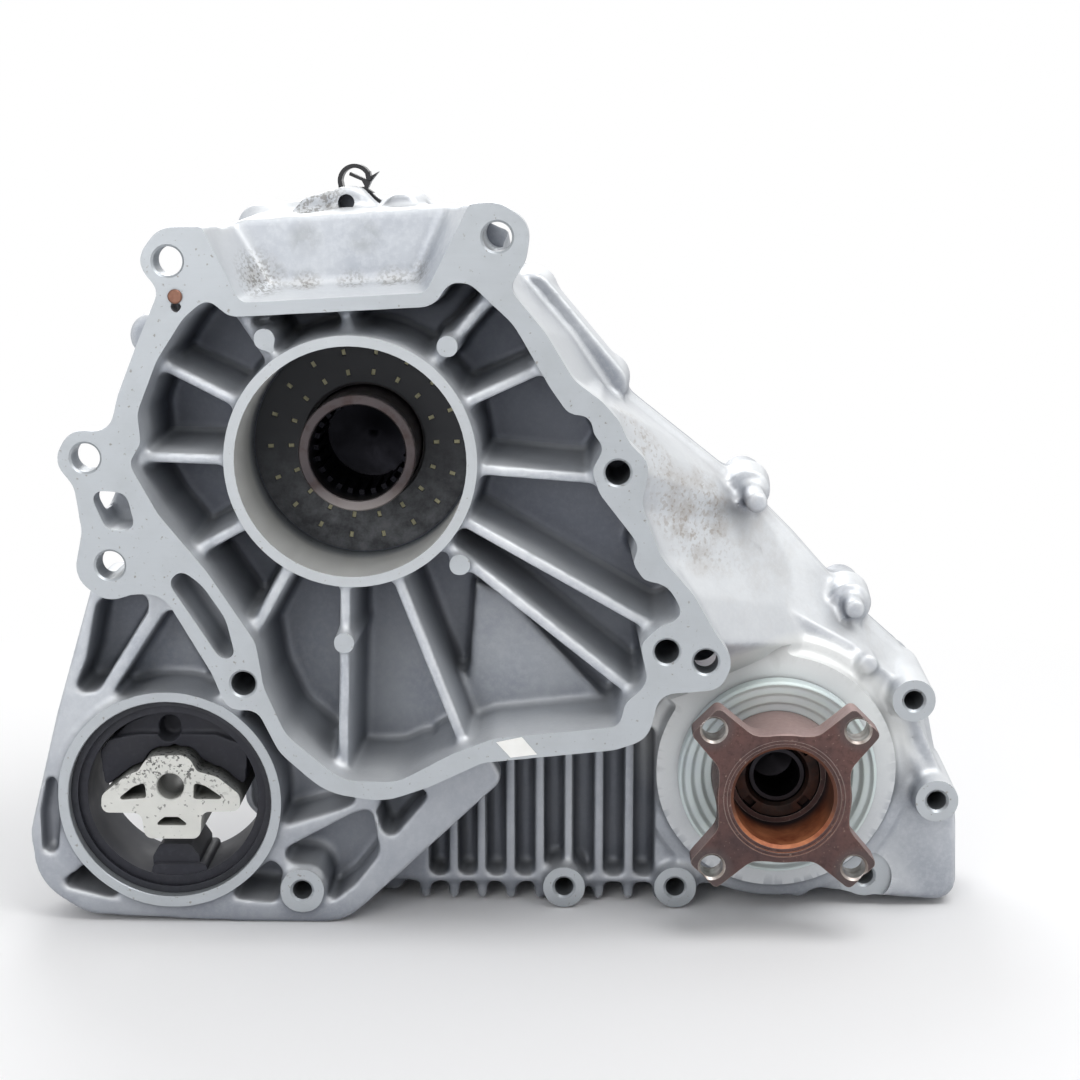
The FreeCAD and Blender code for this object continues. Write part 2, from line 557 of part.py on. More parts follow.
def rear_housing():
    """The rear casting: flat cover, clutch dome, bearing bosses and the actuator seat."""
    outer = [
        plate(grown(CASE, 2.5), JOINT, JOINT + JOINT_RIM),
        loft(CASE, JOINT, grown(CASE, -5), REAR_FLAT),
        disc(MAIN, DOME, JOINT, DOME_BACK - 10),
        cone(MAIN, DOME, DOME_BACK - 10, DOME - 7, DOME_BACK),
        cone(MAIN, 50, DOME_BACK - 1, 46, BEARING_BOSS_BACK),
        cone(OUT, 48, REAR_FLAT - 6, 43, 136),
        lobe(PINION, 31, MOTOR, 34, JOINT + 5, DOME_BACK),
        disc(FILL, 14, REAR_FLAT - 4, REAR_FLAT + 4),
        disc(DRAIN, 14, REAR_FLAT - 4, REAR_FLAT + 4),
    ]
    for x, z in ACTUATOR_BOLTS:
        outer.append(lobe(nearest_axis(x, z), 14, (x, z), 8.5, JOINT + 8, DOME_BACK))
    for x, z, front, opens in CASE_BOLTS:
        outer.append(cone((x, z), BOSS_R + 1.0, JOINT, BOSS_R, REAR_FLAT))
    for angle in (15, 45, 75, 105, 135, 165, 195, 225):
        x0, z0 = polar(MAIN, 45, angle)
        x1, z1 = polar(MAIN, DOME - 3, angle)
        outer.append(rib(x0, z0, x1, z1, BEARING_BOSS_BACK - 4, DOME_BACK, DOME_BACK - 12, 4.0, 6.0))
    for angle in (0, 45, 90, 135, 180, 225, 270, 315):
        x0, z0 = polar(OUT, 42, angle)
        x1, z1 = polar(OUT, 60, angle)
        outer.append(rib(x0, z0, x1, z1, 134, REAR_FLAT, REAR_FLAT - 8, 4.0, 6.0))
    body = joined(outer)
    inner = [
        loft(grown(CASE, -WALL), JOINT - 0.5, grown(CASE, -WALL - 5), REAR_FLAT - WALL),
        disc(MAIN, DOME - 8, JOINT - 1, DOME_BACK - WALL),
        lobe(PINION, 25, MOTOR, 28, JOINT + 4, DOME_BACK - WALL),
    ]
    body = body.cut(Part.makeCompound(inner + [box(-200, 400, 90, 240, FLOOR - 30, FLOOR)]))
    seats = [
        disc(OUT, 38, 111.6, 130),
        disc(PINION, 10, 160.5, DOME_BACK),
        ring(MAIN, 32, 66, DOME_BACK - WALL, DOME_BACK - WALL + 1),
    ]
    for x, z in (FILL, DRAIN):
        seats.append(disc((x, z), 13, REAR_FLAT - 10, REAR_FLAT))
    for x, z in ACTUATOR_BOLTS:
        seats.append(disc((x, z), 7.5, 150, DOME_BACK))
    for x, z, front, opens in CASE_BOLTS:
        seats.append(disc((x, z), BOSS_R - 1.0, JOINT, REAR_FLAT - 2))
    body = joined([body] + seats)
    cuts = [
        disc(MAIN, 30, 150, 174),
        disc(MAIN, 36.0 + PRESS, 172.8, 190),
        disc(MAIN, 34.0, 189.5, BEARING_BOSS_BACK + 2),
        disc(OUT, 31.0 + PRESS, 100, 128.5),
        disc(PINION, 5.6, 150, DOME_BACK + 5),
    ]
    for x, z in (FILL, DRAIN):
        cuts.append(disc((x, z), 9.1, 100, REAR_FLAT + 10))
    for x, z in ACTUATOR_BOLTS:
        cuts.append(disc((x, z), 3.1, 154, DOME_BACK + 2))
    for x, z, front, opens in CASE_BOLTS:
        cuts.append(disc((x, z), BOLT_HOLE, JOINT - 2, REAR_FLAT + 2))
    return body.cut(Part.makeCompound(cuts))


# ---------------------------------------------------------------- pieces fixed to the housings
def case_bolts():
    return [hex_bolt(x, z, REAR_FLAT, BOLT_R, 13.0, 8.5, BOLT_TIP) for x, z, front, opens in CASE_BOLTS]


def dowel_pin():
    return chamfered_disc((-71.3, 69.5), 3.0, FACE - 1.2, 15.8, 0.5)


def pilot_baffle():
    """Dark perforated plate at the bottom of the pilot bore."""
    body = ring(MAIN, 27.6, 48.7, PILOT_END - 2.0, PILOT_END - 0.2)
    cuts = []
    for radius in (32.5, 41.7):
        for i in range(18):
            slot = box(radius - 1.4, radius + 1.4, PILOT_END - 3, PILOT_END + 1, -0.9, 0.9)
            slot.rotate(V(0, 0, 0), BACK, 88.5 - 10 + 20 * i)
            cuts.append(slot)
    return body.cut(Part.makeCompound(cuts))


def shaft_seal(centre, inner, outer, y0, y1):
    """Rotary lip seal: cased outer ring, web and a lip that runs on the shaft."""
    profile = [
        (outer, y0), (outer, y1), (outer - 1.6, y1), (outer - 1.6, y0 + 2.6), (inner + 3.0, y0 + 2.6),
        (inner + 1.8, y1 - 1.0), (inner + 0.06, y1 - 2.2), (inner + 1.0, y0 + 2.0), (inner + 0.6, y0),
    ]
    return turned(centre, profile)


def bearing(name):
    """Outer ring, inner ring and balls of a deep-groove bearing."""
    centre, r_in, r_out, y0, y1, ball_r, count = BEARINGS[name]
    pitch_r = (r_in + r_out) / 2
    middle = (y0 + y1) / 2
    shoulder = ball_r * 0.62
    groove = torus(centre, pitch_r, ball_r + 0.05, middle)
    outer = ring(centre, pitch_r + shoulder, r_out, y0, y1).cut(groove)
    inner = ring(centre, r_in + PRESS, pitch_r - shoulder, y0, y1).cut(groove)
    balls = [ball(centre, pitch_r, 360.0 * i / count, ball_r, middle) for i in range(count)]
    return outer, inner, balls


def mount_sleeve():
    return joined([ring(MOUNT, 43.2, 45.7, 34, 77), ring(MOUNT, 42.6, 43.4, 34, 36)])


def mount_lining():
    """Rubber bonded inside the sleeve, with the stop that limits downward travel."""
    lining = ring(MOUNT, 38.9, 43.15, 37, 75)
    stop = plate([(-98, -205), (-98.5, -189, 3), (-95, -183, 3), (-81, -183, 3), (-77, -189, 3), (-77, -205)],
                 40, 72)
    lip = plate([(-100, -200), (-98, -192, 2), (-74, -192, 2), (-72, -200)], 38, 74)
    return joined([lining, stop.common(disc(MOUNT, 42, 30, 80)), lip.common(disc(MOUNT, 42, 30, 80))])


CORE = [
    (-119, -164.8, 3.5), (-118.6, -156.5, 5), (-106.5, -147, 12), (-101.5, -145.2, 3), (-97, -138.2, 8),
    (-79, -137.4, 8), (-75, -145.2, 3), (-66, -147.6, 10), (-56, -156, 5), (-55.8, -163.9, 4),
    (-73.4, -164.3, 3.5), (-74.5, -177, 4), (-99.6, -177, 4), (-100.9, -165, 3.5),
]


def mount_core():
    """Extruded aluminium core: a hat section with a bolt hole, two windows and a slot."""
    body = plate(CORE, 30, 73)
    cuts = [
        disc((-87.3, -152.4), 6.1, 20, 80),
        plate([(-112, -158.9, 0.8), (-104, -152.4, 8), (-98.8, -150.6, 1.2), (-98.2, -157.8, 1)], 20, 80),
        plate([(-77.1, -158.2, 1), (-76.6, -150.6, 1.2), (-71.5, -151.8, 8), (-62.6, -158.2, 0.8)], 20, 80),
        plate([(-94.8, -170.6, 0.5), (-92.6, -168.4, 0.5), (-90.4, -166.7, 0.5), (-84, -166.7, 0.5),
               (-82, -168.4, 0.5), (-79.4, -170.6, 0.5)], 20, 80),
    ]
    return body.cut(Part.makeCompound(cuts))


def mount_rubber():
    """The rubber legs between the core's back and the upper half of the sleeve."""
    legs = plate([(-119.5, -157, 2), (-121.5, -140, 2), (-117, -134, 4), (-104, -131.5, 6),
                  (-68, -131.5, 6), (-56.5, -136, 4), (-54, -142, 2), (-55.5, -156, 2), (-70, -146, 2),
                  (-87, -136, 2), (-104, -146, 2)], 42, 70)
    web = plate([(-118, -137), (-116, -134), (-108, -127, 6), (-96, -121.6, 6), (-79, -121.6, 6),
                 (-67, -127, 6), (-57, -137), (-70, -133.5), (-104, -133.5)], 46, 66)
    pocket = plate([(-94.6, -135, 4.8), (-94.6, -123.6, 4.8), (-84.8, -123.6, 4.8), (-84.8, -135, 4.8)], 20, 80)
    body = joined([legs, web]).cut(pocket)
    return body.cut(plate(grown(CORE, 0.35), 20, 80))


def hose_clip():
    """Black plastic pipe clip: a snap band whose foot grips the stud behind the breather boss."""
    x, z = -2.6, 115.6
    band = ring((x, z), 5.6, 7.4, 60, 68)
    band = band.cut(plate([(x, z - 1.6), (x + 14, z + 2.4), (x + 14, z - 12), (x + 3, z - 10)], 50, 80))
    grip = ring((-2, 108.6), 2.45, 4.2, 60, 68)
    neck = plate([(-9.6, 112), (-9.9, 115.6), (-8.2, 115.6), (-7.6, 112.6), (-3.6, 112.2), (-4.6, 110.6)], 60, 68)
    latch = plate([(x - 2.5, z + 2.4), (x - 2.1, z + 3.8), (x + 5.5, z + 0.4), (x + 7.3, z + 2.2),
                   (x + 10.5, z + 4.0), (x + 7.0, z - 0.4), (x + 5.6, z - 3.4), (x + 8.4, z - 5.2),
                   (x + 3, z - 5.4), (x + 4.2, z - 2.2), (x + 3.1, z)], 61, 67)
    tip = plate([(x + 4.6, z + 3.2), (x + 6.6, z + 4.2), (x + 7.4, z + 0.2), (x + 5.2, z + 0.2)], 60.5, 67.5)
    strap = plate([(0.6, 111.6), (1.4, 112.8), (8.8, 107.0), (8.0, 105.8)], 62, 66)
    link = plate([(-2, 111.6), (-2, 113.0), (2.0, 113.0), (2.0, 110.6)], 61, 67)
    return joined([band, grip, neck, latch, tip, strap, link]).cut(disc((-2, 108.6), 2.45, 59, 69))


def screw_plug(centre):
    """Threaded plug with a flange and a hexagon socket that faces the rear."""
    body = joined([disc(centre, 9.0, REAR_FLAT - 9, REAR_FLAT + 4), chamfered_disc(centre, 12.5, REAR_FLAT + 4,
                   REAR_FLAT + 8, 0.8)])
    return body.cut(hexagon(centre, 10.0, REAR_FLAT, REAR_FLAT + 9))


# ---------------------------------------------------------------- main shaft and clutch
def main_shaft():
    """Hollow input end, bearing seats, clutch spline seat and the rear stub."""
    body = turned(MAIN, [
        (0, 100), (21, 96), (21, 27.6), (21.6, 27), (25.0, 27), (25.6, 27.6), (25.6, 69), (27.5, 69.2),
        (27.5, 86.6), (24, 86.8), (24, 110), (22, 110.2), (22, 150), (20, 151), (20, 172.8), (17.5, 173),
        (17.5, 189.4), (16, 189.6), (16, 204), (11, 204.2), (11, 218), (10, 219), (0, 219),
    ])
    splines = []
    for i in range(24):
        key = box(18.9, 21.5, 44, 80, -1.2, 1.2)
        key.rotate(V(0, 0, 0), BACK, 15 * i)
        splines.append(key)
    return joined([body] + splines)


def needle_rollers():
    return [disc(polar(MAIN, 25.76, 360.0 * i / 32), 1.66, 90, 107) for i in range(32)]


def sprocket(centre, bore, y0, y1):
    """Chain wheel with straight-sided teeth."""
    corners = []
    step = 360.0 / SPROCKET_TEETH
    for i in range(SPROCKET_TEETH):
        for r, a in ((SPROCKET_ROOT, -0.36), (SPROCKET_TIP, -0.16), (SPROCKET_TIP, 0.16), (SPROCKET_ROOT, 0.36)):
            corners.append(polar(centre, r, (i + a) * step))
    return plate(corners, y0, y1).cut(disc(centre, bore, y0 - 1, y1 + 1))


def upper_sprocket():
    collar = ring(MAIN, 27.5, 33.0, 107, 114.9)
    grooves = joined([ring(MAIN, 30.5, 37, 85, 89.6), ring(MAIN, 30.5, 37, 106.8, 111)])
    return joined([sprocket(MAIN, 27.5, 88.6, 107.6).cut(grooves), collar])


def clutch_drum():
    """Cup with twelve axial slots that drive the steel plates."""
    cup = turned(MAIN, [(33.02, 110.6), (DRUM_R, 110.6), (DRUM_R, 148), (64, 148), (64, 114.8), (33.02, 114.8)])
    slots = []
    for i in range(12):
        slot = box(60, 72, 116, 150, -4.0, 4.0)
        slot.rotate(V(0, 0, 0), BACK, 30 * i + 15)
        slots.append(slot)
    return cup.cut(Part.makeCompound(slots))


def tabbed_ring(inner, outer, y0, y1, reach, width, turn):
    """Flat ring with twelve driving tabs: outwards when reach > outer, inwards when reach < inner."""
    body = ring(MAIN, inner, outer, y0, y1)
    tabs = []
    for i in range(12):
        if reach > outer:
            tab = box(outer - 1, reach, y0, y1, -width / 2, width / 2)
        else:
            tab = box(reach, inner + 1, y0, y1, -width / 2, width / 2)
        tab.rotate(V(0, 0, 0), BACK, 30 * i + turn)
        tabs.append(tab)
    return joined([body] + tabs)


def steel_plates():
    made = []
    for i in range(PLATE_PAIRS):
        y = PACK_FRONT + i * PLATE_PITCH
        made.append(tabbed_ring(46.6, 63.2, y, y + PLATE_T, 67.4, 7.4, 15))
    return made


def friction_plates():
    made = []
    for i in range(PLATE_PAIRS):
        y = PACK_FRONT + (i + 0.5) * PLATE_PITCH
        made.append(tabbed_ring(45.6, 62.0, y, y + PLATE_T, 42.6, 6.0, 0))
    return made


def clutch_hub():
    """Splined hub that carries the friction plates."""
    body = turned(MAIN, [
        (22.04, 116), (HUB_R, 116), (HUB_R, 142.6), (38, 142.6), (38, 120.5), (30, 120.5), (30, 146),
        (22.04, 146),
    ])
    grooves = []
    for i in range(12):
        groove = box(42.2, 50, 110, 160, -3.3, 3.3)
        groove.rotate(V(0, 0, 0), BACK, 30 * i)
        grooves.append(groove)
    return body.cut(Part.makeCompound(grooves))


def pressure_plate():
    return tabbed_ring(47.0, 63.0, PRESSURE_FRONT, PRESSURE_FRONT + 3.8, 67.2, 7.2, 15)


def thrust_bearing():
    """Needle thrust bearing between the pressure plate and the turning ramp ring."""
    needles = []
    for i in range(36):
        x0, z0 = polar(MAIN, 49.5, 10 * i)
        x1, z1 = polar(MAIN, 56.5, 10 * i)
        direction = V(x1 - x0, 0, z1 - z0)
        needles.append(Part.makeCylinder(1.0, 7.0, V(x0, 150.2, z0), direction))
    return [ring(MAIN, 48.5, 57.5, 147.6, 149.1)] + needles


def ramp_ring_turning():
    """Ramp ring with the toothed sector that the actuator turns."""
    toothed = gear(MAIN, SECTOR_MODULE, SECTOR_TEETH, 152.6, 157.2, PINION_ANGLE - 7.5)
    tooth = 360.0 / SECTOR_TEETH
    start = PINION_ANGLE - 2.5 * tooth
    wedge = [polar(MAIN, 56, start + 14 * tooth), polar(MAIN, 56, start)]
    for i in range(8):
        wedge.append(polar(MAIN, 90, start + 2 * i * tooth))
    sector = toothed.common(plate(wedge, 150, 160))
    body = joined([ring(MAIN, 40, 62, 152.6, 157.2), sector])
    return body.cut(torus(MAIN, RAMP_RADIUS, RAMP_BALL + 0.08, 158.8))


def ramp_ring_fixed():
    body = ring(MAIN, 40, 62, 160.4, 164.9)
    ears = []
    for angle in (60, 180, 300):
        x, z = polar(MAIN, 64, angle)
        ears.append(disc((x, z), 6, 160.4, 164.9))
    return joined([body] + ears).cut(torus(MAIN, RAMP_RADIUS, RAMP_BALL + 0.08, 158.8))


def ramp_balls():
    return [ball(MAIN, RAMP_RADIUS, 60 * i + 20, RAMP_BALL, 158.8) for i in range(6)]


def rear_flange():
    """Three-arm flange for the propeller shaft's flexible coupling."""
    corners = []
    for k in range(3):
        base = 90 + 120 * k
        corners.append((*polar(MAIN, 31, base - 40), 10))
        corners.append((*polar(MAIN, 61, base - 11), 7))
        corners.append((*polar(MAIN, 61, base + 11), 7))
        corners.append((*polar(MAIN, 31, base + 40), 10))
    body = joined([
        plate(corners, 202, 213),
        disc(MAIN, 30, 200.5, 213),
        disc(MAIN, 22.0, 189.6, 203),
        cone(MAIN, 26, 213, 24, 216),
    ])
    cuts = [disc(MAIN, 16.04, 180, 206), disc(MAIN, 20, 205.5, 220)]
    for k in range(3):
        cuts.append(disc(polar(MAIN, 48, 90 + 120 * k), 6.1, 190, 220))
    return body.cut(Part.makeCompound(cuts))


def flange_nut(centre, flats, bore, y0, y1):
    """Hexagon nut with a washer face."""
    nut = hexagon(centre, flats, y0, y1).common(cone(centre, flats * 0.62, y0, flats * 0.5, y1 + 6))
    return nut.cut(disc(centre, bore, y0 - 1, y1 + 1))


# ---------------------------------------------------------------- front output and chain
def front_output_shaft():
    """Output shaft: hollow threaded nose, splines, bearing seats and the sprocket's seat."""
    return turned(OUT, [
        (0, 80), (10.5, 76), (10.5, 45.6), (12.4, 45.6), (13, 46.2), (13, 62.6), (22, 62.8), (22, 81),
        (24, 81.2), (24, 110.6), (15, 110.8), (15, 128), (0, 128),
    ])


def front_flange():
    """Four-arm output flange: the arms carry M10 holes, the hub takes the joint's spigot."""
    corners = []
    for k in range(4):
        for x, z, radius in ((-14.0, 28.8, 8), (14.0, 28.8, 8), (29.4, 41.6, 2.5), (41.6, 29.4, 2.5)):
            a = math.degrees(math.atan2(z, x)) - 90 * k
            corners.append((*polar(OUT, math.hypot(x, z), a), radius))
    body = joined([
        plate(corners, FLANGE_FACE, FLANGE_FACE + FLANGE_PLATE),
        disc(OUT, 29.7, FLANGE_FACE + 0.5, 48),
        disc(OUT, 27.0, 47, 62.4),
    ])
    cuts = [
        disc(OUT, 25.0, FLANGE_FACE - 1, FLANGE_FACE + 0.8),
        disc(OUT, FLANGE_SOCKET, FLANGE_FACE - 1, 43),
        disc(OUT, 19.6, 42, 53),
        disc(OUT, 13.04, 50, 64),
    ]
    for k in range(4):
        x, z = polar(OUT, FLANGE_PCD / 2, 45 + 90 * k)
        cuts.append(disc((x, z), FLANGE_HOLE, FLANGE_FACE - 2, FLANGE_FACE + FLANGE_PLATE + 2))
        cuts.append(cone((x, z), FLANGE_HOLE + 1.1, FLANGE_FACE - 0.1, FLANGE_HOLE, FLANGE_FACE + 1.0))
    return body.cut(Part.makeCompound(cuts))


def ring_nut():
    """Round nut with four spanner slots, sunk in the flange's hub."""
    nut = ring(OUT, 13.04, 19.2, 43.6, 52.9).cut(cone(OUT, 14.6, 43.5, 13.04, 45.2))
    slots = []
    for k in range(4):
        slot = box(15.5, 21, 43, 46.5, -2.5, 2.5)
        slot.rotate(V(0, 0, 0), BACK, 90 * k + 45)
        slot.translate(V(OUT[0], 0, OUT[1]))
        slots.append(slot)
    return nut.cut(Part.makeCompound(slots))


def dust_shield():
    """Pressed disc with concentric steps that throws dirt off the seal."""
    t = 1.2
    front = [(29.74, 46.6), (33.0, 46.6), (34.4, 44.4), (37.6, 44.4), (39.0, 42.2), (42.0, 42.2), (43.4, 40.6),
             (44.8, 41.6)]
    back = [(44.8, 48.6), (43.6, 48.6), (43.4, 42.4), (42.6, 42.2 + t), (39.8, 42.2 + t), (38.4, 44.4 + t),
            (35.2, 44.4 + t), (33.8, 46.6 + t), (29.74, 46.6 + t)]
    return turned(OUT, front + back)


def chain_links():
    """Link blocks of the drive chain, spaced evenly along both straights and both wraps."""
    run_x, run_z = OUT[0] - MAIN[0], OUT[1] - MAIN[1]
    span = math.hypot(run_x, run_z)
    slope = math.degrees(math.atan2(run_z, run_x))
    middle = CHAIN_INSIDE + CHAIN_DEEP / 2
    wrap = math.pi * middle
    total = 2 * span + 2 * wrap
    made = []
    for i in range(CHAIN_LINKS):
        s = total * i / CHAIN_LINKS
        if s < span:
            x, z, turn = s, middle, 0.0
        elif s < span + wrap:
            a = (s - span) / middle
            x, z, turn = span + middle * math.sin(a), middle * math.cos(a), -math.degrees(a)
        elif s < 2 * span + wrap:
            x, z, turn = span - (s - span - wrap), -middle, 180.0
        else:
            a = (s - 2 * span - wrap) / middle
            x, z, turn = -middle * math.sin(a), -middle * math.cos(a), 180.0 - math.degrees(a)
        half, low, high = 4.1, -CHAIN_DEEP / 2, CHAIN_DEEP / 2
        link = plate([(-half, low, 1.0), (-half, high, 3.0), (half, high, 3.0), (half, low, 1.0)],
                     CHAIN_FRONT, CHAIN_BACK)
        pin = disc((0, 0.4), 1.5, CHAIN_FRONT - 0.7, CHAIN_BACK + 0.7)
        link = joined([link, pin])
        link.rotate(V(0, 0, 0), BACK, -turn)
        link.translate(V(x, 0, z))
        link.rotate(V(0, 0, 0), BACK, -slope)
        made.append(link)
    return made


# ---------------------------------------------------------------- clutch actuator
def actuator_housing():
    """Cast cup that covers the reduction wheel and carries the motor."""
    y0 = DOME_BACK + 0.02
    outer = [lobe(PINION, 31, MOTOR, 34, y0, 191)]
    for x, z in ACTUATOR_BOLTS:
        outer.append(lobe(nearest_axis(x, z), 14, (x, z), 8, y0, 181))
    outer.append(disc(PINION, 12, 190, 194))
    outer.append(disc(MOTOR, 31, 190, 196))
    body = joined(outer).cut(lobe(PINION, 28, MOTOR, 31, y0 - 1, 187.5))
    cuts = [disc(MOTOR, 12.2, 180, 200), disc(PINION, 5.3, 180, 191)]
    for x, z in ACTUATOR_BOLTS:
        cuts.append(disc((x, z), 3.2, 160, 200))
    return body.cut(Part.makeCompound(cuts))


def actuator_bolts():
    return [hex_bolt(x, z, 181.0, 3.0, 10.0, 6.5, 158.0) for x, z in ACTUATOR_BOLTS]


def motor_can():
    """Drawn steel can of the actuator motor, closed at the rear."""
    body = turned(MOTOR, [
        (28.5, 196.05), (28.5, 232), (26, 235.5), (8.5, 235.5), (8.5, 239), (0, 239), (0, 236.5), (4.0, 236.5),
        (4.0, 233.5), (25.5, 233.5), (26.5, 232), (26.5, 198.5), (11.8, 198.5), (11.8, 192), (8, 192), (8, 196.05),
    ])
    return body


def motor_magnets():
    made = []
    for start in (-60, 120):
        arc = ring(MOTOR, 22.6, 26.4, 201, 230)
        wedge = [MOTOR]
        for i in range(7):
            wedge.append(polar(MOTOR, 60, start + 20 * i))
        made.append(arc.common(plate(wedge, 190, 240)))
    return made


def motor_rotor():
    """Armature, shaft and the small gear that drives the reduction wheel."""
    parts = [
        disc(MOTOR, 22.0, 204, 226),
        disc(MOTOR, 9.0, 226, 232),
        disc(MOTOR, 2.5, 176, 235.5),
        gear(MOTOR, WHEEL_MODULE, MOTOR_TEETH, 176, 184, MOTOR_ANGLE + 180 + 180.0 / MOTOR_TEETH),
    ]
    body = joined(parts)
    slots = []
    for i in range(10):
        slot = box(16, 24, 203, 227, -1.1, 1.1)
        slot.rotate(V(0, 0, 0), BACK, 36 * i)
        slot.translate(V(MOTOR[0], 0, MOTOR[1]))
        slots.append(slot)
    return body.cut(Part.makeCompound(slots))


def actuator_pinion():
    """Shaft that turns the ramp ring's sector."""
    return joined([
        gear(PINION, SECTOR_MODULE, PINION_TEETH, 151.6, 158.2, PINION_ANGLE + 180 + 180.0 / PINION_TEETH),
        disc(PINION, 5.5, 151.6, 176),
        disc(PINION, 5.2, 175, 190.5),
    ])


def reduction_wheel():
    """Large gear on the pinion shaft, driven by the motor."""
    body = gear(PINION, WHEEL_MODULE, WHEEL_TEETH, 177, 183, MOTOR_ANGLE)
    cuts = [disc(PINION, 5.24, 170, 190)]
    for i in range(6):
        cuts.append(disc(polar(PINION, 14, 60 * i + 30), 4.0, 170, 190))
    return body.cut(Part.makeCompound(cuts))


def connector():
    """Plug socket of the actuator, standing out from the motor's seat."""
    x, z = polar(MOTOR, 40, -15)
    body = joined([
        box(x - 13, x + 13, 186, 200, z - 9, z + 9),
        box(x - 11, x + 17, 188, 198, z - 7, z + 7),
    ])
    body = body.cut(disc(MOTOR, 31.1, 180, 210))
    body = body.cut(lobe(PINION, 31.1, MOTOR, 34.1, 170, 191.05))
    return body.cut(box(x + 5, x + 20, 189.5, 196.5, z - 5.5, z + 5.5))


def connector_pins():
    x, z = polar(MOTOR, 40, -15)
    made = []
    for i in range(4):
        made.append(box(x + 5.02, x + 14, 192.6, 193.4, z - 4.0 + 2.4 * i, z - 3.2 + 2.4 * i))
    return made


def main():
    os.makedirs("parts", exist_ok=True)
    casting = front_housing()
    pieces = {
        "front_housing": casting,
        "bell_ribs": bell_ribs(casting),
        "mount_bracket": mount_bracket(casting),
        "rear_housing": rear_housing(),
        "case_bolts": case_bolts(),
        "dowel_pin": dowel_pin(),
        "pilot_baffle": pilot_baffle(),
        "input_seal": shaft_seal(MAIN, 25.6, 33.9, 60.0, 69.6),
        "rear_seal": shaft_seal(MAIN, 22.0, 33.9, 190.0, 197.5),
        "output_seal": shaft_seal(OUT, 27.0, 39.9, 50.4, 60.3),
        "mount_sleeve": mount_sleeve(),
        "mount_lining": mount_lining(),
        "mount_rubber": mount_rubber(),
        "mount_core": mount_core(),
        "hose_clip": hose_clip(),
        "fill_plug": screw_plug(FILL),
        "drain_plug": screw_plug(DRAIN),
        "main_shaft": main_shaft(),
        "needle_rollers": needle_rollers(),
        "upper_sprocket": upper_sprocket(),
        "clutch_drum": clutch_drum(),
        "steel_plates": steel_plates(),
        "friction_plates": friction_plates(),
        "clutch_hub": clutch_hub(),
        "pressure_plate": pressure_plate(),
        "thrust_bearing": thrust_bearing(),
        "ramp_ring_turning": ramp_ring_turning(),
        "ramp_ring_fixed": ramp_ring_fixed(),
        "ramp_balls": ramp_balls(),
        "rear_flange": rear_flange(),
        "rear_flange_nut": flange_nut(MAIN, 30.0, 11.05, 206.1, 214.5),
        "front_output_shaft": front_output_shaft(),
        "lower_sprocket": sprocket(OUT, 24.04, 88.6, 107.6),
        "front_flange": front_flange(),
        "front_flange_nut": ring_nut(),
        "dust_shield": dust_shield(),
        "chain_links": chain_links(),
        "actuator_housing": actuator_housing(),
        "actuator_bolts": actuator_bolts(),
        "motor_can": motor_can(),
        "motor_magnets": motor_magnets(),
        "motor_rotor": motor_rotor(),
        "actuator_pinion": actuator_pinion(),
        "reduction_wheel": reduction_wheel(),
        "actuator_connector": connector(),
        "connector_pins": connector_pins(),
    }
    for name in BEARINGS:
        outer, inner, balls = bearing(name)
        pieces[name + "_outer"] = outer
        pieces[name + "_inner"] = inner
        pieces[name + "_balls"] = balls
    for name, shape in pieces.items():
        save(name, Part.makeCompound(shape) if isinstance(shape, list) else shape)


main()
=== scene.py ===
"""Looks of the transfer case: castings with machined faces, rusted steel, rubber, dirt and light.

Lengths in the tables are millimetres in the record's frame; Blender's own values are metres.
"""
import json
import math

import bmesh
import bpy
import numpy as np
from mathutils import Matrix, Vector

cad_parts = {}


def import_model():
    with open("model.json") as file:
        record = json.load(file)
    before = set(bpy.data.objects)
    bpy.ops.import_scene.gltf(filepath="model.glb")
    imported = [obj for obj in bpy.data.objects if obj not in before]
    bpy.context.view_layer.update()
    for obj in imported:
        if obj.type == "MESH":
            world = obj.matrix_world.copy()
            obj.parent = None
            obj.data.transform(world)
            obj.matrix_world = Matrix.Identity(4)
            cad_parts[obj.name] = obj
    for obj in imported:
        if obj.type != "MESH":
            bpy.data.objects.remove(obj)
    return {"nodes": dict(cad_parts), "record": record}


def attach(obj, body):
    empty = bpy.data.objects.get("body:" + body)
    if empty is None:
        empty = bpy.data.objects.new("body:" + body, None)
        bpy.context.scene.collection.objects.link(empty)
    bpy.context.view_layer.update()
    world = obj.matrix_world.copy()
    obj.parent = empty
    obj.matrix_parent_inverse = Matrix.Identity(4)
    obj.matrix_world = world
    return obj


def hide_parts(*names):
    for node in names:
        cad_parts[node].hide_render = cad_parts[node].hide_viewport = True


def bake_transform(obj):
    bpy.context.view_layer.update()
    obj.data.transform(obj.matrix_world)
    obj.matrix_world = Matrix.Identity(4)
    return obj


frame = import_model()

MM = 0.001
NODES = frame["nodes"]
RECORD = frame["record"]
SCENE = bpy.context.scene
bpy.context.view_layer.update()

MAIN = (0.0, 0.0)
OUT = (186.7, -150.0)
MOUNT = (-87.6, -158.6)
FLOOR = -217.5
MOUNT_FRONT = 29.0
OUT_BOSS_FRONT = 50.0
JOINT = 100.0
REAR_FLAT = 124.0
DOME_BACK = 171.0

# Radii of holes that repeat
BOLT_HOLE = 4.4
PLUG_HOLE = 9.1


def polar(centre, radius, degrees):
    a = math.radians(degrees)
    return centre[0] + radius * math.cos(a), centre[1] + radius * math.sin(a)


PINION = polar(MAIN, 81.0, -70.0)
MOTOR = polar(PINION, 29.0, -60.0)
ACTUATOR_BOLTS = [polar(PINION, 39, 196), polar(PINION, 39, 24),
                  polar(MOTOR, 42, -55), polar(MOTOR, 42, -162)]

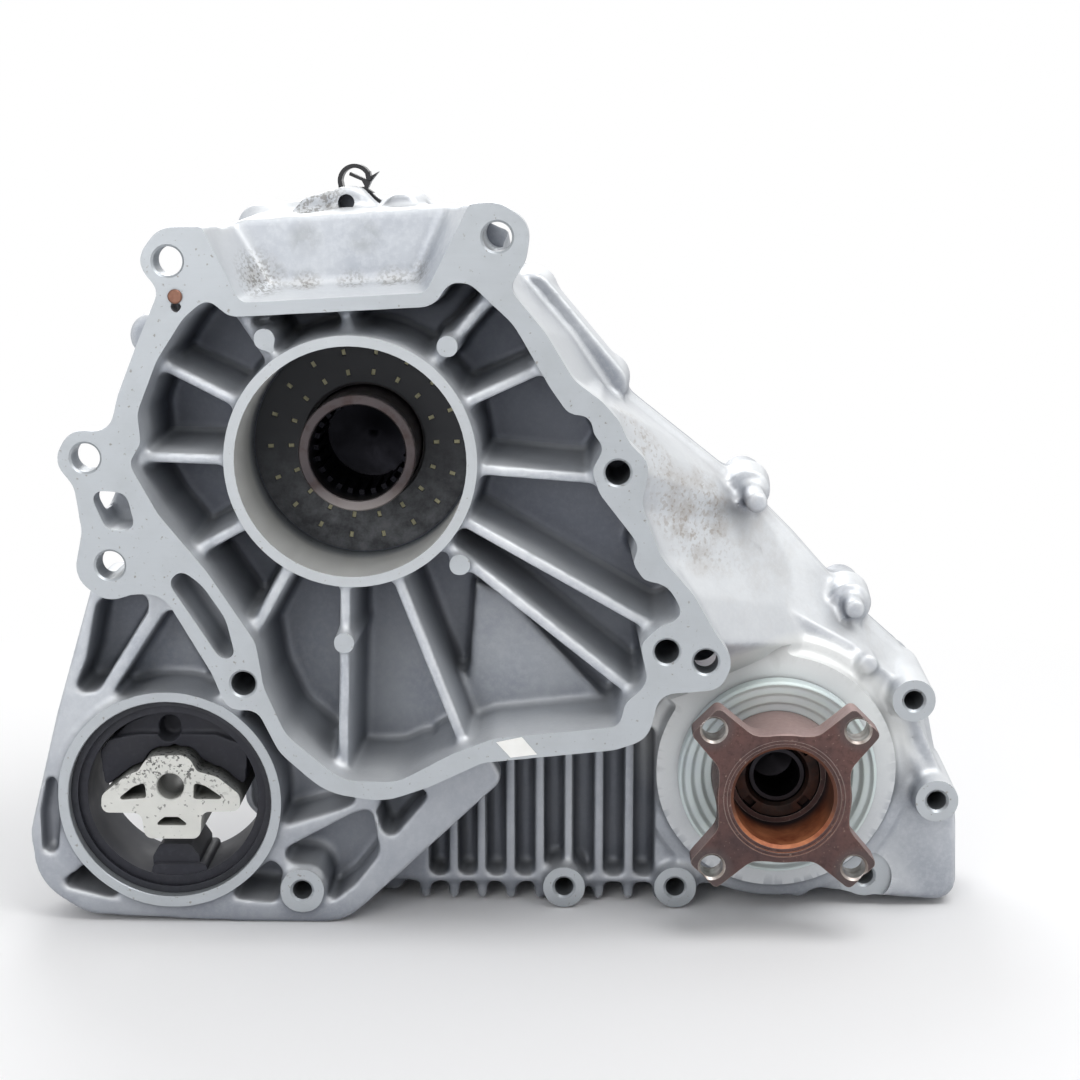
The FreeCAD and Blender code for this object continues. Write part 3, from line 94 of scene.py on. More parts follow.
# Case bolts: (x, z, front of the boss, whether its hole opens at the front)
CASE_BOLTS = [
    (-28.9, -201.5, 30.0, True),
    (90.0, -207.4, 52.0, True),
    (141.6, -207.2, 52.0, True),
    (229.8, -203.0, 58.0, True),
    (259.6, -161.8, 44.0, True),
    (247.6, -114.6, 44.0, True),
    (222.5, -78.0, 79.0, False),
    (174.5, -25.0, 80.0, False),
    (108.5, 25.5, 72.0, False),
    (75.0, 65.5, 71.0, False),
    (17.8, 100.4, 66.0, False),
    (-46.0, 95.5, 66.0, False),
    (-96.0, 47.0, 66.0, False),
    (-102.0, -30.0, 74.0, False),
]
PADS = [(-35.5, 51.5), (41.0, 48.5), (45.5, -44.5), (-4.5, -79.0)]
# Holes of the bell's flange: (x, z, radius, depth)
BELL_HOLES = [
    (m["pos_m"][0] / MM, m["pos_m"][2] / MM, m["dims"]["r_mm"],
     m["pos_m"][1] / MM + m["dims"]["length_mm"] / 2)
    for m in RECORD["mounts"] if m["name"].startswith("bell_hole")
]

# ---------------------------------------------------------------- mesh helpers


def new_object(name, mesh):
    made = bpy.data.objects.new(name, mesh)
    SCENE.collection.objects.link(made)
    return made


def evaluated_mesh(obj):
    depsgraph = bpy.context.evaluated_depsgraph_get()
    return bpy.data.meshes.new_from_object(obj.evaluated_get(depsgraph), depsgraph=depsgraph)


def bake_modifiers(obj):
    mesh = evaluated_mesh(obj)
    obj.modifiers.clear()
    obj.data = mesh


def add_modifier(obj, kind, **settings):
    made = obj.modifiers.new(kind.lower(), kind)
    for key, value in settings.items():
        setattr(made, key, value)
    return made


def lathe(bm, centre, profile, steps=72):
    """Adds a closed solid of revolution about Y; the profile runs from axis to axis."""
    rings = []
    for r, y in profile:
        if r < 1e-6:
            rings.append([bm.verts.new((centre[0] * MM, y * MM, centre[1] * MM))])
            continue
        loop = []
        for i in range(steps):
            a = 2 * math.pi * i / steps
            x = centre[0] + r * math.cos(a)
            z = centre[1] + r * math.sin(a)
            loop.append(bm.verts.new((x * MM, y * MM, z * MM)))
        rings.append(loop)
    for low, high in zip(rings[:-1], rings[1:]):
        for i in range(steps):
            j = (i + 1) % steps
            if len(low) == 1:
                bm.faces.new((low[0], high[i], high[j]))
            elif len(high) == 1:
                bm.faces.new((low[i], high[0], low[j]))
            else:
                bm.faces.new((low[i], high[i], high[j], low[j]))


def slab(bm, x0, x1, y0, y1, z0, z1):
    """Adds a box."""
    corners = []
    for x in (x0, x1):
        for y in (y0, y1):
            for z in (z0, z1):
                corners.append(bm.verts.new((x * MM, y * MM, z * MM)))
    for face in ((0, 1, 3, 2), (4, 6, 7, 5), (0, 4, 5, 1), (2, 3, 7, 6), (0, 2, 6, 4), (1, 5, 7, 3)):
        bm.faces.new([corners[i] for i in face])


def prism(bm, outline, y0, y1):
    """Adds a flat plate with that outline of (x, z) corners."""
    front = [bm.verts.new((x * MM, y0 * MM, z * MM)) for x, z in outline]
    back = [bm.verts.new((x * MM, y1 * MM, z * MM)) for x, z in outline]
    bm.faces.new(front)
    bm.faces.new(back)
    for i in range(len(outline)):
        bm.faces.new((front[i - 1], front[i], back[i], back[i - 1]))


def mesh_from(build):
    bm = bmesh.new()
    build(bm)
    bmesh.ops.recalc_face_normals(bm, faces=bm.faces)
    mesh = bpy.data.meshes.new("cutter")
    bm.to_mesh(mesh)
    bm.free()
    return mesh


def cut_with(obj, build):
    """Subtracts the solids that build(bm) makes."""
    cutter = new_object("cutter", mesh_from(build))
    add_modifier(obj, "BOOLEAN", operation="DIFFERENCE", object=cutter, solver="MANIFOLD")
    bake_modifiers(obj)
    bpy.data.objects.remove(cutter)


def coordinates(mesh):
    co = np.zeros(len(mesh.vertices) * 3)
    mesh.vertices.foreach_get("co", co)
    return co.reshape(-1, 3)


def hole_profile(radius, chamfer, front, back):
    """Bore from its chamfered mouth at the depth front to the depth back."""
    return [(0, front - 3), (radius + chamfer + 3, front - 3), (radius + chamfer, front),
            (radius, front + chamfer), (radius, back), (0, back)]


def machine_stock(co, faces, bores, stock):
    """Adds machining stock to a copy of the solid: face vertices move out, bore walls move in."""
    for y, towards, centre, radius in faces:
        near = np.abs(co[:, 1] - y * MM) < 2e-5
        if centre:
            near &= np.hypot(co[:, 0] - centre[0] * MM, co[:, 2] - centre[1] * MM) < (radius + 0.3) * MM
        co[near, 1] += towards * stock * MM
    for centre, profile in bores:
        dx, dz = co[:, 0] - centre[0] * MM, co[:, 2] - centre[1] * MM
        distance = np.hypot(dx, dz)
        for (r0, y0), (r1, y1) in zip(profile[:-1], profile[1:]):
            if abs(r0 - r1) > 1e-6 or r0 < 1:
                continue
            low, high = min(y0, y1) * MM - 1e-3, max(y0, y1) * MM + 1e-4
            near = (np.abs(distance - r0 * MM) < 8e-5) & (co[:, 1] > low) & (co[:, 1] < high)
            share = max(r0 - stock, 0.4 * r0) / r0
            co[near, 0] = centre[0] * MM + dx[near] * share
            co[near, 2] = centre[1] * MM + dz[near] * share


def mark_machined(mesh, faces, bores, index=1, keep=False):
    """Gives the machined faces the material of that index, and the others the first one unless kept."""
    count = len(mesh.polygons)
    centres = np.zeros(count * 3)
    normals = np.zeros(count * 3)
    mesh.polygons.foreach_get("center", centres)
    mesh.polygons.foreach_get("normal", normals)
    centres, normals = centres.reshape(-1, 3) / MM, normals.reshape(-1, 3)
    marked = np.zeros(count, bool)
    for y, _, centre, radius in faces:
        near = (np.abs(centres[:, 1] - y) < 0.03) & (np.abs(normals[:, 1]) > 0.99)
        if centre:
            near &= np.hypot(centres[:, 0] - centre[0], centres[:, 2] - centre[1]) < radius + 0.3
        marked |= near
    for centre, profile in bores:
        dx, dz = centres[:, 0] - centre[0], centres[:, 2] - centre[1]
        distance = np.hypot(dx, dz)
        for (r0, y0), (r1, y1) in zip(profile[:-1], profile[1:]):
            if abs(y0 - y1) < 1e-6:
                continue
            low, high = min(y0, y1), max(y0, y1)
            radius = r0 + (r1 - r0) * (centres[:, 1] - y0) / (y1 - y0)
            near = (np.abs(distance - radius) < 0.12) & (centres[:, 1] > low) & (centres[:, 1] < high)
            marked |= near
    material = np.zeros(count, np.int32)
    if keep:
        mesh.polygons.foreach_get("material_index", material)
    material[marked] = index
    mesh.polygons.foreach_set("material_index", material)


def shade(mesh, degrees=32):
    mesh.shade_smooth()
    mesh.set_sharp_from_angle(angle=math.radians(degrees))


def sharpen_borders(mesh):
    """Keeps the edges between machined and cast faces sharp."""
    owner = np.zeros(len(mesh.polygons), np.int32)
    mesh.polygons.foreach_get("material_index", owner)
    corners = np.zeros(len(mesh.polygons), np.int32)
    mesh.polygons.foreach_get("loop_total", corners)
    edges = np.zeros(len(mesh.loops), np.int32)
    mesh.loops.foreach_get("edge_index", edges)
    count = np.bincount(edges, minlength=len(mesh.edges))
    machined = np.bincount(edges, weights=np.repeat(owner > 0, corners), minlength=len(mesh.edges))
    sharp = np.zeros(len(mesh.edges), bool)
    mesh.edges.foreach_get("use_edge_sharp", sharp)
    sharp |= (machined > 0) & (machined < count)
    mesh.edges.foreach_set("use_edge_sharp", sharp)


def rough_copy(nodes, faces, bores, stock, extra=None):
    """One mesh of the CAD nodes with machining stock, and what extra(bm) adds."""
    bm = bmesh.new()
    for node in nodes:
        mesh = NODES[node].data.copy()
        co = coordinates(mesh)
        machine_stock(co, faces, bores, stock)
        mesh.vertices.foreach_set("co", co.ravel())
        bm.from_mesh(mesh)
        bpy.data.meshes.remove(mesh)
    if extra:
        extra(bm)
    mesh = bpy.data.meshes.new("rough")
    bm.to_mesh(mesh)
    bm.free()
    return mesh


def casting(name, nodes, body, voxel, fillet, smooth, budget, faces, bores, stock=2.4,
            extra=None):
    """Copy of a CAD casting with soft cast edges and crisp machined faces and bores."""
    piece = new_object(name, rough_copy(nodes, faces, bores, stock, extra))
    remesh = {"mode": "VOXEL", "voxel_size": voxel * MM}
    add_modifier(piece, "REMESH", **remesh)
    if fillet:
        add_modifier(piece, "DISPLACE", strength=fillet * MM, mid_level=0.0)
        add_modifier(piece, "REMESH", **remesh)
        add_modifier(piece, "DISPLACE", strength=-fillet * MM, mid_level=0.0)
        add_modifier(piece, "REMESH", **remesh)
    add_modifier(piece, "SMOOTH", factor=0.5, iterations=smooth)
    bake_modifiers(piece)
    triangles = 2 * len(piece.data.polygons)
    if triangles > budget:
        add_modifier(piece, "DECIMATE", ratio=budget / triangles)
        bake_modifiers(piece)

    def cutters(bm):
        for centre, profile in bores:
            lathe(bm, centre, profile)

    def planes(bm):
        for y, towards, centre, radius in faces:
            if centre:
                away = y + towards * 4
                lathe(bm, centre, [(0, y), (radius, y), (radius, away), (0, away)])
            else:
                slab(bm, -260, 360, y, y + towards * 6, -260, 200)

    cut_with(piece, planes)
    cut_with(piece, cutters)
    mark_machined(piece.data, faces, bores)
    shade(piece.data)
    sharpen_borders(piece.data)
    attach(piece, body)
    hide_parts(*nodes)
    print(name, len(piece.data.polygons), "faces")
    return piece


# ---------------------------------------------------------------- shader helpers


def linear(r, g, b):
    """Shader colour from an 8-bit sRGB one."""
    parts = []
    for c in (r, g, b):
        c = c / 255.0
        parts.append(c / 12.92 if c <= 0.04045 else ((c + 0.055) / 1.055) ** 2.4)
    return (*parts, 1.0)


class Shader:
    """Short names for the nodes that the materials use."""

    def __init__(self, name):
        self.material = bpy.data.materials.new(name)
        self.material.use_nodes = True
        self.tree = self.material.node_tree
        self.tree.nodes.clear()
        self.out = self.tree.nodes.new("ShaderNodeOutputMaterial")
        self.bsdf = self.tree.nodes.new("ShaderNodeBsdfPrincipled")
        self.tree.links.new(self.bsdf.outputs[0], self.out.inputs[0])
        self.place = self.tree.nodes.new("ShaderNodeTexCoord").outputs["Object"]

    def node(self, kind, inputs, **settings):
        made = self.tree.nodes.new(kind)
        for key, value in settings.items():
            setattr(made, key, value)
        for key, value in inputs.items():
            if isinstance(value, bpy.types.NodeSocket):
                self.tree.links.new(value, made.inputs[key])
            elif value is not None:
                made.inputs[key].default_value = value
        return made

    def noise(self, scale, detail=3.0, rough=0.55, distortion=0.0, at=None):
        return self.node("ShaderNodeTexNoise", {
            "Vector": at or self.place, "Scale": scale, "Detail": detail, "Roughness": rough,
            "Distortion": distortion}).outputs[0]

    def stretched(self, x, y, z):
        return self.vector("MULTIPLY", self.place, (x, y, z)).outputs[0]

    def step(self, value, low, high, start=0.0, end=1.0):
        made = self.node("ShaderNodeMapRange", {0: value, 1: low, 2: high, 3: start, 4: end})
        return made.outputs[0]

    def math(self, operation, a, b=None, clamp=False):
        made = self.node("ShaderNodeMath", {0: a, 1: b}, operation=operation, use_clamp=clamp)
        return made.outputs[0]

    def vector(self, operation, a, b=None):
        return self.node("ShaderNodeVectorMath", {0: a, 1: b}, operation=operation)

    def both(self, a, b):
        return self.math("MULTIPLY", a, b)

    def either(self, *values):
        total = values[0]
        for value in values[1:]:
            total = self.math("ADD", total, value, clamp=True)
        return total

    def mix(self, fac, a, b, blend="MIX"):
        made = self.node("ShaderNodeMix", {0: fac, 6: a, 7: b}, data_type="RGBA", blend_type=blend)
        return made.outputs[2]

    def near(self, x, y, z, hole_shade, outside):
        """1 within inside mm of the point, falling to 0 at outside mm."""
        away = self.vector("DISTANCE", self.place, (x * MM, y * MM, z * MM)).outputs["Value"]
        return self.step(away, hole_shade * MM, outside * MM, 1.0, 0.0)

    def flat_radius(self, centre):
        """Distance from a Y axis, in metres."""
        offset = self.vector("SUBTRACT", self.place, (centre[0] * MM, 0.0, centre[1] * MM)).outputs[0]
        flat = self.vector("MULTIPLY", offset, (1.0, 0.0, 1.0)).outputs[0]
        return self.vector("LENGTH", flat).outputs["Value"]

    def axis(self, name):
        split = self.node("ShaderNodeSeparateXYZ", {0: self.place})
        return split.outputs[name]

    def facing(self, x, y, z):
        """Cosine between the surface's normal and a direction."""
        normal = self.node("ShaderNodeNewGeometry", {}).outputs["Normal"]
        return self.vector("DOT_PRODUCT", normal, (x, y, z)).outputs["Value"]

    def crevice(self, distance, samples=6):
        """Ambient occlusion mask for painted shade: 1 deep in corners and hollows, 0 on open surfaces.
        """
        made = self.node("ShaderNodeAmbientOcclusion", {"Distance": distance * MM}, samples=samples)
        return self.step(made.outputs["AO"], 0.25, 0.9, 1.0, 0.0)

    def edge(self, low=0.52, high=0.6):
        """1 on sharp convex edges."""
        made = self.node("ShaderNodeNewGeometry", {})
        return self.step(made.outputs["Pointiness"], low, high)

    def rim(self, radius):
        """1 along sharp edges, where a rounded normal leans away from the face's own."""
        soft = self.node("ShaderNodeBevel", {"Radius": radius * MM}, samples=6).outputs[0]
        own = self.node("ShaderNodeNewGeometry", {}).outputs["Normal"]
        lean = self.vector("DOT_PRODUCT", soft, own).outputs["Value"]
        return self.step(lean, 0.90, 0.985, 1.0, 0.0)

    def bump(self, height, strength, distance, radius=0.0):
        """Bump on top of softly rounded corners."""
        normal = None
        if radius:
            normal = self.node("ShaderNodeBevel", {"Radius": radius * MM}, samples=4).outputs[0]
        made = self.node("ShaderNodeBump", {"Height": height, "Strength": strength,
                                            "Distance": distance * MM, "Normal": normal})
        return made.outputs[0]

    def finish(self, color, rough, metal, normal=None):
        surface = {"Base Color": color, "Roughness": rough, "Metallic": metal, "Normal": normal}
        for key, value in surface.items():
            if isinstance(value, bpy.types.NodeSocket):
                self.tree.links.new(value, self.bsdf.inputs[key])
            elif value is not None:
                self.bsdf.inputs[key].default_value = value
        return self.material


# ---------------------------------------------------------------- materials


def cast_aluminium(name, light, dark, front):
    """As-cast aluminium: pale skin, with painted blue-black shade in its hollows and a painted
    highlight on sharp edges; the front casting has stains and dirt, is darker towards the lower left,
    and has painted light on faces towards the key lamp and painted shade on faces towards +X and deep
    in the bell.
    """
    s = Shader(name)
    mottled = s.noise(26, 4, 0.6)
    grain = s.noise(420, 4, 0.65)
    base = s.mix(s.step(mottled, 0.36, 0.66), dark, light)
    base = s.mix(s.both(s.step(grain, 0.44, 0.64), 0.25), base, linear(228, 231, 234))
    if front:
        low = s.both(s.step(s.axis("Z"), -0.150, -0.095, 1.0, 0.0),
                     s.step(s.axis("X"), 0.125, 0.160, 1.0, 0.0))
        base = s.mix(s.both(low, 0.4), base, linear(128, 132, 142))
        # Painted light: faces turned towards the key lamp are lightened to near white.
        bright = s.step(s.facing(0.42, -0.25, 0.85), 0.25, 0.8)
        base = s.mix(s.both(bright, 0.6), base, linear(240, 242, 243))
        # Painted shade: faces turned towards +X are darkened.
        base = s.mix(s.step(s.facing(1.0, 0.0, 0.0), 0.6, 0.9, 0.0, 0.5), base, linear(162, 166, 172))
        # Painted shade deep in the bell: occlusion darkens its inner walls, less on faces turned up and
        # less towards the bottom.
        upward = s.step(s.facing(0.0, 0.0, 1.0), 0.3, 0.8, 1.0, 0.25)
        bell_shade = s.both(s.both(s.crevice(75, 8), s.step(s.axis("Y"), 0.016, 0.046)), upward)
        bell_shade_strength = s.step(s.axis("Z"), -0.120, -0.060, 0.45, 0.78)
        base = s.mix(s.both(bell_shade, bell_shade_strength), base, linear(56, 61, 76))
        seat = s.both(s.step(s.flat_radius(OUT), 0.061, 0.066, 1.0, 0.0),
                      s.step(s.axis("Z"), -0.17, -0.13))
        base = s.mix(s.both(seat, 0.6), base, linear(238, 239, 236))
    # Painted shade: corners and hollows darkened to blue-black.
    base = s.mix(s.both(s.crevice(12), 0.42), base, linear(54, 58, 70))
    # Painted highlight: sharp convex edges are lightened.
    base = s.mix(s.both(s.edge(), 0.5), base, linear(234, 236, 237))
    rough = s.step(mottled, 0.3, 0.7, 0.44, 0.58)
    if front:
        at = s.stretched(1.0, 0.35, 1.0)
        specks = s.step(s.noise(520, 2, 0.5, at=at), 0.55, 0.62)
        haze = s.step(s.noise(90, 5, 0.7, at=at), 0.44, 0.66)
        patches = s.either(
            s.near(120, 32, 4, 4, 26), s.near(128, 36, -22, 6, 26), s.near(142, 42, -36, 8, 28),
            s.near(152, 58, -58, 6, 22), s.near(158, 70, -78, 4, 18), s.near(150, 60, -28, 5, 20))
        wide = s.either(s.near(165, 70, -45, 20, 60), s.near(222, 80, -90, 6, 34))
        dirt = s.either(s.both(s.both(specks, patches), 0.55), s.both(s.both(haze, patches), 0.7),
                        s.both(s.both(haze, wide), 0.3))
        base = s.mix(s.both(dirt, 0.62), base, linear(142, 126, 108))
        tray = s.either(
            s.near(-44, 22, 72, 8, 18), s.near(36, 24, 72, 6, 16), s.near(-20, 24, 71, 2, 9),
            s.near(0, 24, 71.5, 2, 9), s.near(17, 24, 72, 2, 10), s.near(-18, 50, 106, 8, 17))
        pits = s.both(s.step(s.noise(700, 2, 0.5), 0.48, 0.57), tray)
        smears = s.both(s.either(s.near(-20, 24, 92, 4, 9), s.near(5, 24, 93, 4, 9)),
                        s.step(haze, 0.0, 0.5, 0.4, 1.0))
        base = s.mix(s.both(smears, 0.4), base, linear(140, 144, 146))
        base = s.mix(s.both(s.both(haze, tray), 0.35), base, linear(158, 150, 138))
        base = s.mix(s.both(pits, 0.55), base, linear(96, 90, 80))
    height = s.either(s.both(s.noise(1500, 2, 0.5), 0.35), s.both(s.noise(170, 4, 0.6), 0.65))
    return s.finish(base, rough, 0.5, s.bump(height, 0.45, 0.22))


def machined_aluminium():
    """Milled or turned aluminium faces: pale, with faint stains and tool marks, a painted highlight
    around the pilot and painted shade in corners.
    """
    s = Shader("machined_aluminium")
    marks = s.noise(60, 3, 0.6, at=s.stretched(1.0, 1.0, 14.0))
    stain = s.step(s.noise(40, 5, 0.65), 0.45, 0.75)
    base = s.mix(s.both(marks, 0.5), linear(180, 185, 190), linear(196, 201, 205))
    base = s.mix(s.both(stain, 0.35), base, linear(164, 168, 170))
    specks = s.step(s.noise(480, 2, 0.5), 0.66, 0.72)
    base = s.mix(s.both(specks, 0.6), base, linear(120, 112, 100))
    # Painted highlight: machined faces around the pilot that face the front go near white, the others
    # there a little.
    within = s.both(s.step(s.flat_radius(MAIN), 0.054, 0.056, 1.0, 0.0),
                    s.step(s.axis("Y"), 0.040, 0.050, 1.0, 0.0))
    pilot_painted_light = s.both(within, s.step(s.facing(0.0, -1.0, 0.0), 0.5, 0.8, 1.0, 0.1))
    base = s.mix(pilot_painted_light, base, linear(244, 245, 243))
    # Painted shade in corners, weaker around the pilot.
    hollow = s.both(s.crevice(12), s.step(pilot_painted_light, 0.0, 1.0, 0.5, 0.15))
    base = s.mix(hollow, base, linear(58, 62, 70))
    rough = s.step(marks, 0.3, 0.7, 0.34, 0.48)
    return s.finish(base, rough, 0.6, s.bump(marks, 0.12, 0.1))


def steel(name, light, dark, rough, tint=None, tint_amount=0.0, metal=0.9, bevel=0.35, grain=500):
    """Machined steel with fine tool grain, a stain and painted shade in its corners."""
    s = Shader(name)
    fine = s.noise(grain, 3, 0.6)
    cloud = s.noise(45, 4, 0.6)
    base = s.mix(s.step(cloud, 0.35, 0.65), dark, light)
    base = s.mix(s.both(s.step(fine, 0.5, 0.7), 0.25), base, dark)
    if tint:
        stain = s.step(s.noise(120, 5, 0.7), 0.5 - tint_amount * 0.3, 0.62)
        base = s.mix(s.both(stain, tint_amount), base, tint)
    # Painted shade: corners and hollows darkened to near black.
    base = s.mix(s.both(s.crevice(12), 0.7), base, linear(20, 20, 22))
    return s.finish(base, s.step(fine, 0.3, 0.7, rough - 0.07, rough + 0.09), metal,
                    s.bump(fine, 0.12, 0.08, bevel))


def rubber(name, light, dark):
    s = Shader(name)
    cloud = s.noise(60, 4, 0.6)
    dust = s.step(s.noise(240, 4, 0.7), 0.5, 0.75)
    base = s.mix(cloud, dark, light)
    # Painted light: faces turned up towards the key lamp are lightened.
    base = s.mix(s.both(s.step(s.facing(0.3, -0.2, 0.9), 0.2, 0.9), 0.35), base, linear(118, 120, 127))
    base = s.mix(s.both(dust, 0.12), base, linear(100, 101, 108))
    bump = s.bump(s.noise(900, 3), 0.2, 0.1, 0.3)
    return s.finish(base, s.step(cloud, 0.3, 0.7, 0.55, 0.75), 0.0, bump)


def plastic(name, color, rough):
    s = Shader(name)
    cloud = s.noise(80, 3)
    base = s.mix(s.both(s.step(cloud, 0.4, 0.7), 0.3), color, linear(70, 70, 78))
    return s.finish(base, s.step(cloud, 0.3, 0.7, rough - 0.05, rough + 0.1), 0.0,
                    s.bump(s.noise(1300, 2), 0.1, 0.05, 0.3))


def flange_materials():
    """Forged flange: brown rust with dark spot faces and painted light on upward faces and sharp edges,
    orange rust in its bore with painted shade above and deeper in, bright bolt holes.
    """
    s = Shader("rusty_flange")
    cloud = s.noise(38, 5, 0.65)
    grain = s.noise(420, 5, 0.7)
    base = s.mix(s.step(cloud, 0.34, 0.66), linear(70, 52, 52), linear(98, 70, 66))
    base = s.mix(s.both(s.step(grain, 0.5, 0.68), 0.5), base, linear(52, 38, 38))
    base = s.mix(s.both(s.step(s.noise(800, 2, 0.5), 0.66, 0.72), 0.6), base, linear(168, 146, 132))
    spots = s.either(*[s.near(*ring_point(46.5, 45 + 90 * k, 10.0), 8.5, 12) for k in range(4)])
    base = s.mix(s.both(spots, 0.55), base, linear(82, 76, 76))
    # Painted light: faces turned up are lightened.
    base = s.mix(s.both(s.step(s.facing(0.0, 0.0, 1.0), 0.3, 0.8), 0.75), base, linear(186, 160, 156))
    # Painted highlight along the sharp edges.
    base = s.mix(s.both(s.rim(0.5), 0.6), base, linear(186, 172, 164))
    face = s.finish(base, s.step(grain, 0.3, 0.7, 0.38, 0.62), 0.4, s.bump(grain, 0.35, 0.2))
    t = Shader("rusty_bore")
    rust = t.noise(90, 5, 0.65)
    tone = t.mix(t.step(rust, 0.35, 0.65), linear(136, 72, 46), linear(190, 122, 84))
    # Painted shade: the bore's upper half goes dark brown and only its lower wall shows the orange
    # rust.
    bore_shade_split = t.step(t.axis("Z"), -0.164, -0.156, 1.0, 0.25)
    tone = t.mix(bore_shade_split, linear(62, 46, 44), tone)
    # Painted shade: deeper in, the bore goes near black.
    tone = t.mix(t.step(t.axis("Y"), 0.030, 0.040), tone, linear(34, 30, 36))
    bore = t.finish(tone, 0.5, 0.35, t.bump(t.noise(500, 4), 0.25, 0.15))
    u = Shader("bright_hole")
    tone = u.mix(u.step(u.noise(160, 4), 0.4, 0.65), linear(150, 140, 134), linear(205, 200, 196))
    hole = u.finish(tone, 0.35, 0.85, u.bump(u.noise(300, 3), 0.15, 0.1))
    return face, bore, hole


def ring_point(radius, degrees, y):
    x, z = polar(OUT, radius, degrees)
    return x, y, z


def input_steel():
    """Brown-grey sleeve with a painted highlight towards its lower side, and painted shade inside its
    bore and on the shaft nose.
    """
    s = Shader("shaft_steel")
    turning = s.noise(40, 3, 0.6, at=s.stretched(1.0, 22.0, 1.0))
    cloud = s.noise(120, 5, 0.65)
    base = s.mix(turning, linear(62, 59, 63), linear(94, 86, 86))
    base = s.mix(s.both(s.step(cloud, 0.5, 0.65), 0.6), base, linear(62, 48, 44))
    # Painted highlight: the lower side is lightened.
    low = s.step(s.axis("Z"), -0.026, -0.014, 1.0, 0.0)
    base = s.mix(s.both(low, 0.5), base, linear(176, 170, 168))
    # Painted shade: the bore darkens to near black with depth.
    within = s.step(s.flat_radius(MAIN), 0.0212, 0.0216, 1.0, 0.0)
    base = s.mix(s.both(within, s.step(s.axis("Y"), 0.026, 0.040, 0.3, 0.97)), base, linear(18, 19, 26))
    # Painted shade: the shaft nose seen through the output flange is darkened.
    nose_shade = s.both(s.step(s.flat_radius(OUT), 0.030, 0.034, 1.0, 0.0),
                  s.step(s.axis("Y"), 0.084, 0.092, 1.0, 0.0))
    base = s.mix(s.both(nose_shade, 0.95), base, linear(26, 25, 32))
    return s.finish(base, s.step(cloud, 0.3, 0.7, 0.3, 0.5), 0.85, s.bump(turning, 0.15, 0.1, 0.4))


def zinc_shield():
    """Pale zinc with a faint green and blue sheen and concentric bands."""
    s = Shader("zinc_shield")
    bands = s.math("SINE", s.math("MULTIPLY", s.flat_radius(OUT), 1250.0))
    base = s.mix(s.step(bands, -1, 1), linear(214, 226, 224), linear(222, 233, 233))
    base = s.mix(s.both(s.step(s.noise(30, 4), 0.45, 0.7), 0.5), base, linear(196, 206, 218))
    # Painted shade: a faint darkening in hollows.
    base = s.mix(s.both(s.crevice(8), 0.12), base, linear(160, 170, 172))
    return s.finish(base, 0.38, 0.15, s.bump(s.noise(400, 3), 0.08, 0.1, 1.2))


def speckled_core():
    """Extruded aluminium with black specks on its upper arc, and painted shade inside its hole and in
    corners.
    """
    s = Shader("core_aluminium")
    base = s.mix(s.noise(70, 4), linear(200, 201, 197), linear(226, 226, 221))
    upper = s.step(s.axis("Z"), -0.158, -0.145, 0.0, 1.0)
    specks = s.step(s.noise(520, 3, 0.6), 0.54, 0.60)
    rare = s.step(s.noise(420, 2, 0.5), 0.66, 0.70)
    spots = s.either(s.both(specks, upper), s.both(rare, 0.7))
    base = s.mix(s.both(spots, 0.85), base, linear(44, 44, 46))
    # Painted shade inside the hole and windows: deep faces that don't face the front are darkened.
    hole_shade = s.both(s.step(s.axis("Y"), 0.0305, 0.040),
                    s.step(s.facing(0.0, -1.0, 0.0), 0.5, 0.7, 1.0, 0.0))
    base = s.mix(s.both(hole_shade, 0.8), base, linear(50, 51, 48))
    # Painted shade in corners.
    base = s.mix(s.both(s.crevice(6), 0.5), base, linear(70, 68, 62))
    return s.finish(base, 0.48, 0.4, s.bump(s.noise(700, 3), 0.2, 0.1))


def dusty_plate():
    """Black plate with grey dust on its lower half."""
    s = Shader("black_plate")
    low = s.step(s.axis("Z"), -0.040, 0.006, 1.0, 0.0)
    dust = s.both(s.step(s.noise(150, 5, 0.7), 0.36, 0.66), low)
    base = s.mix(s.both(dust, 0.75), linear(26, 28, 34), linear(96, 98, 102))
    return s.finish(base, 0.5, 0.2, s.bump(s.noise(900, 3), 0.15, 0.1, 0.3))


def copper_brown():
    s = Shader("copper_pin")
    base = s.mix(s.noise(300, 4, 0.7), linear(104, 70, 58), linear(158, 118, 100))
    return s.finish(base, 0.42, 0.7, s.bump(s.noise(600, 3), 0.3, 0.1, 0.4))


def pale_detail(name, low, high):
    s = Shader(name)
    return s.finish(s.mix(s.noise(200, 3), low, high), 0.55, 0.0, s.bump(s.noise(800, 2), 0.1, 0.05))


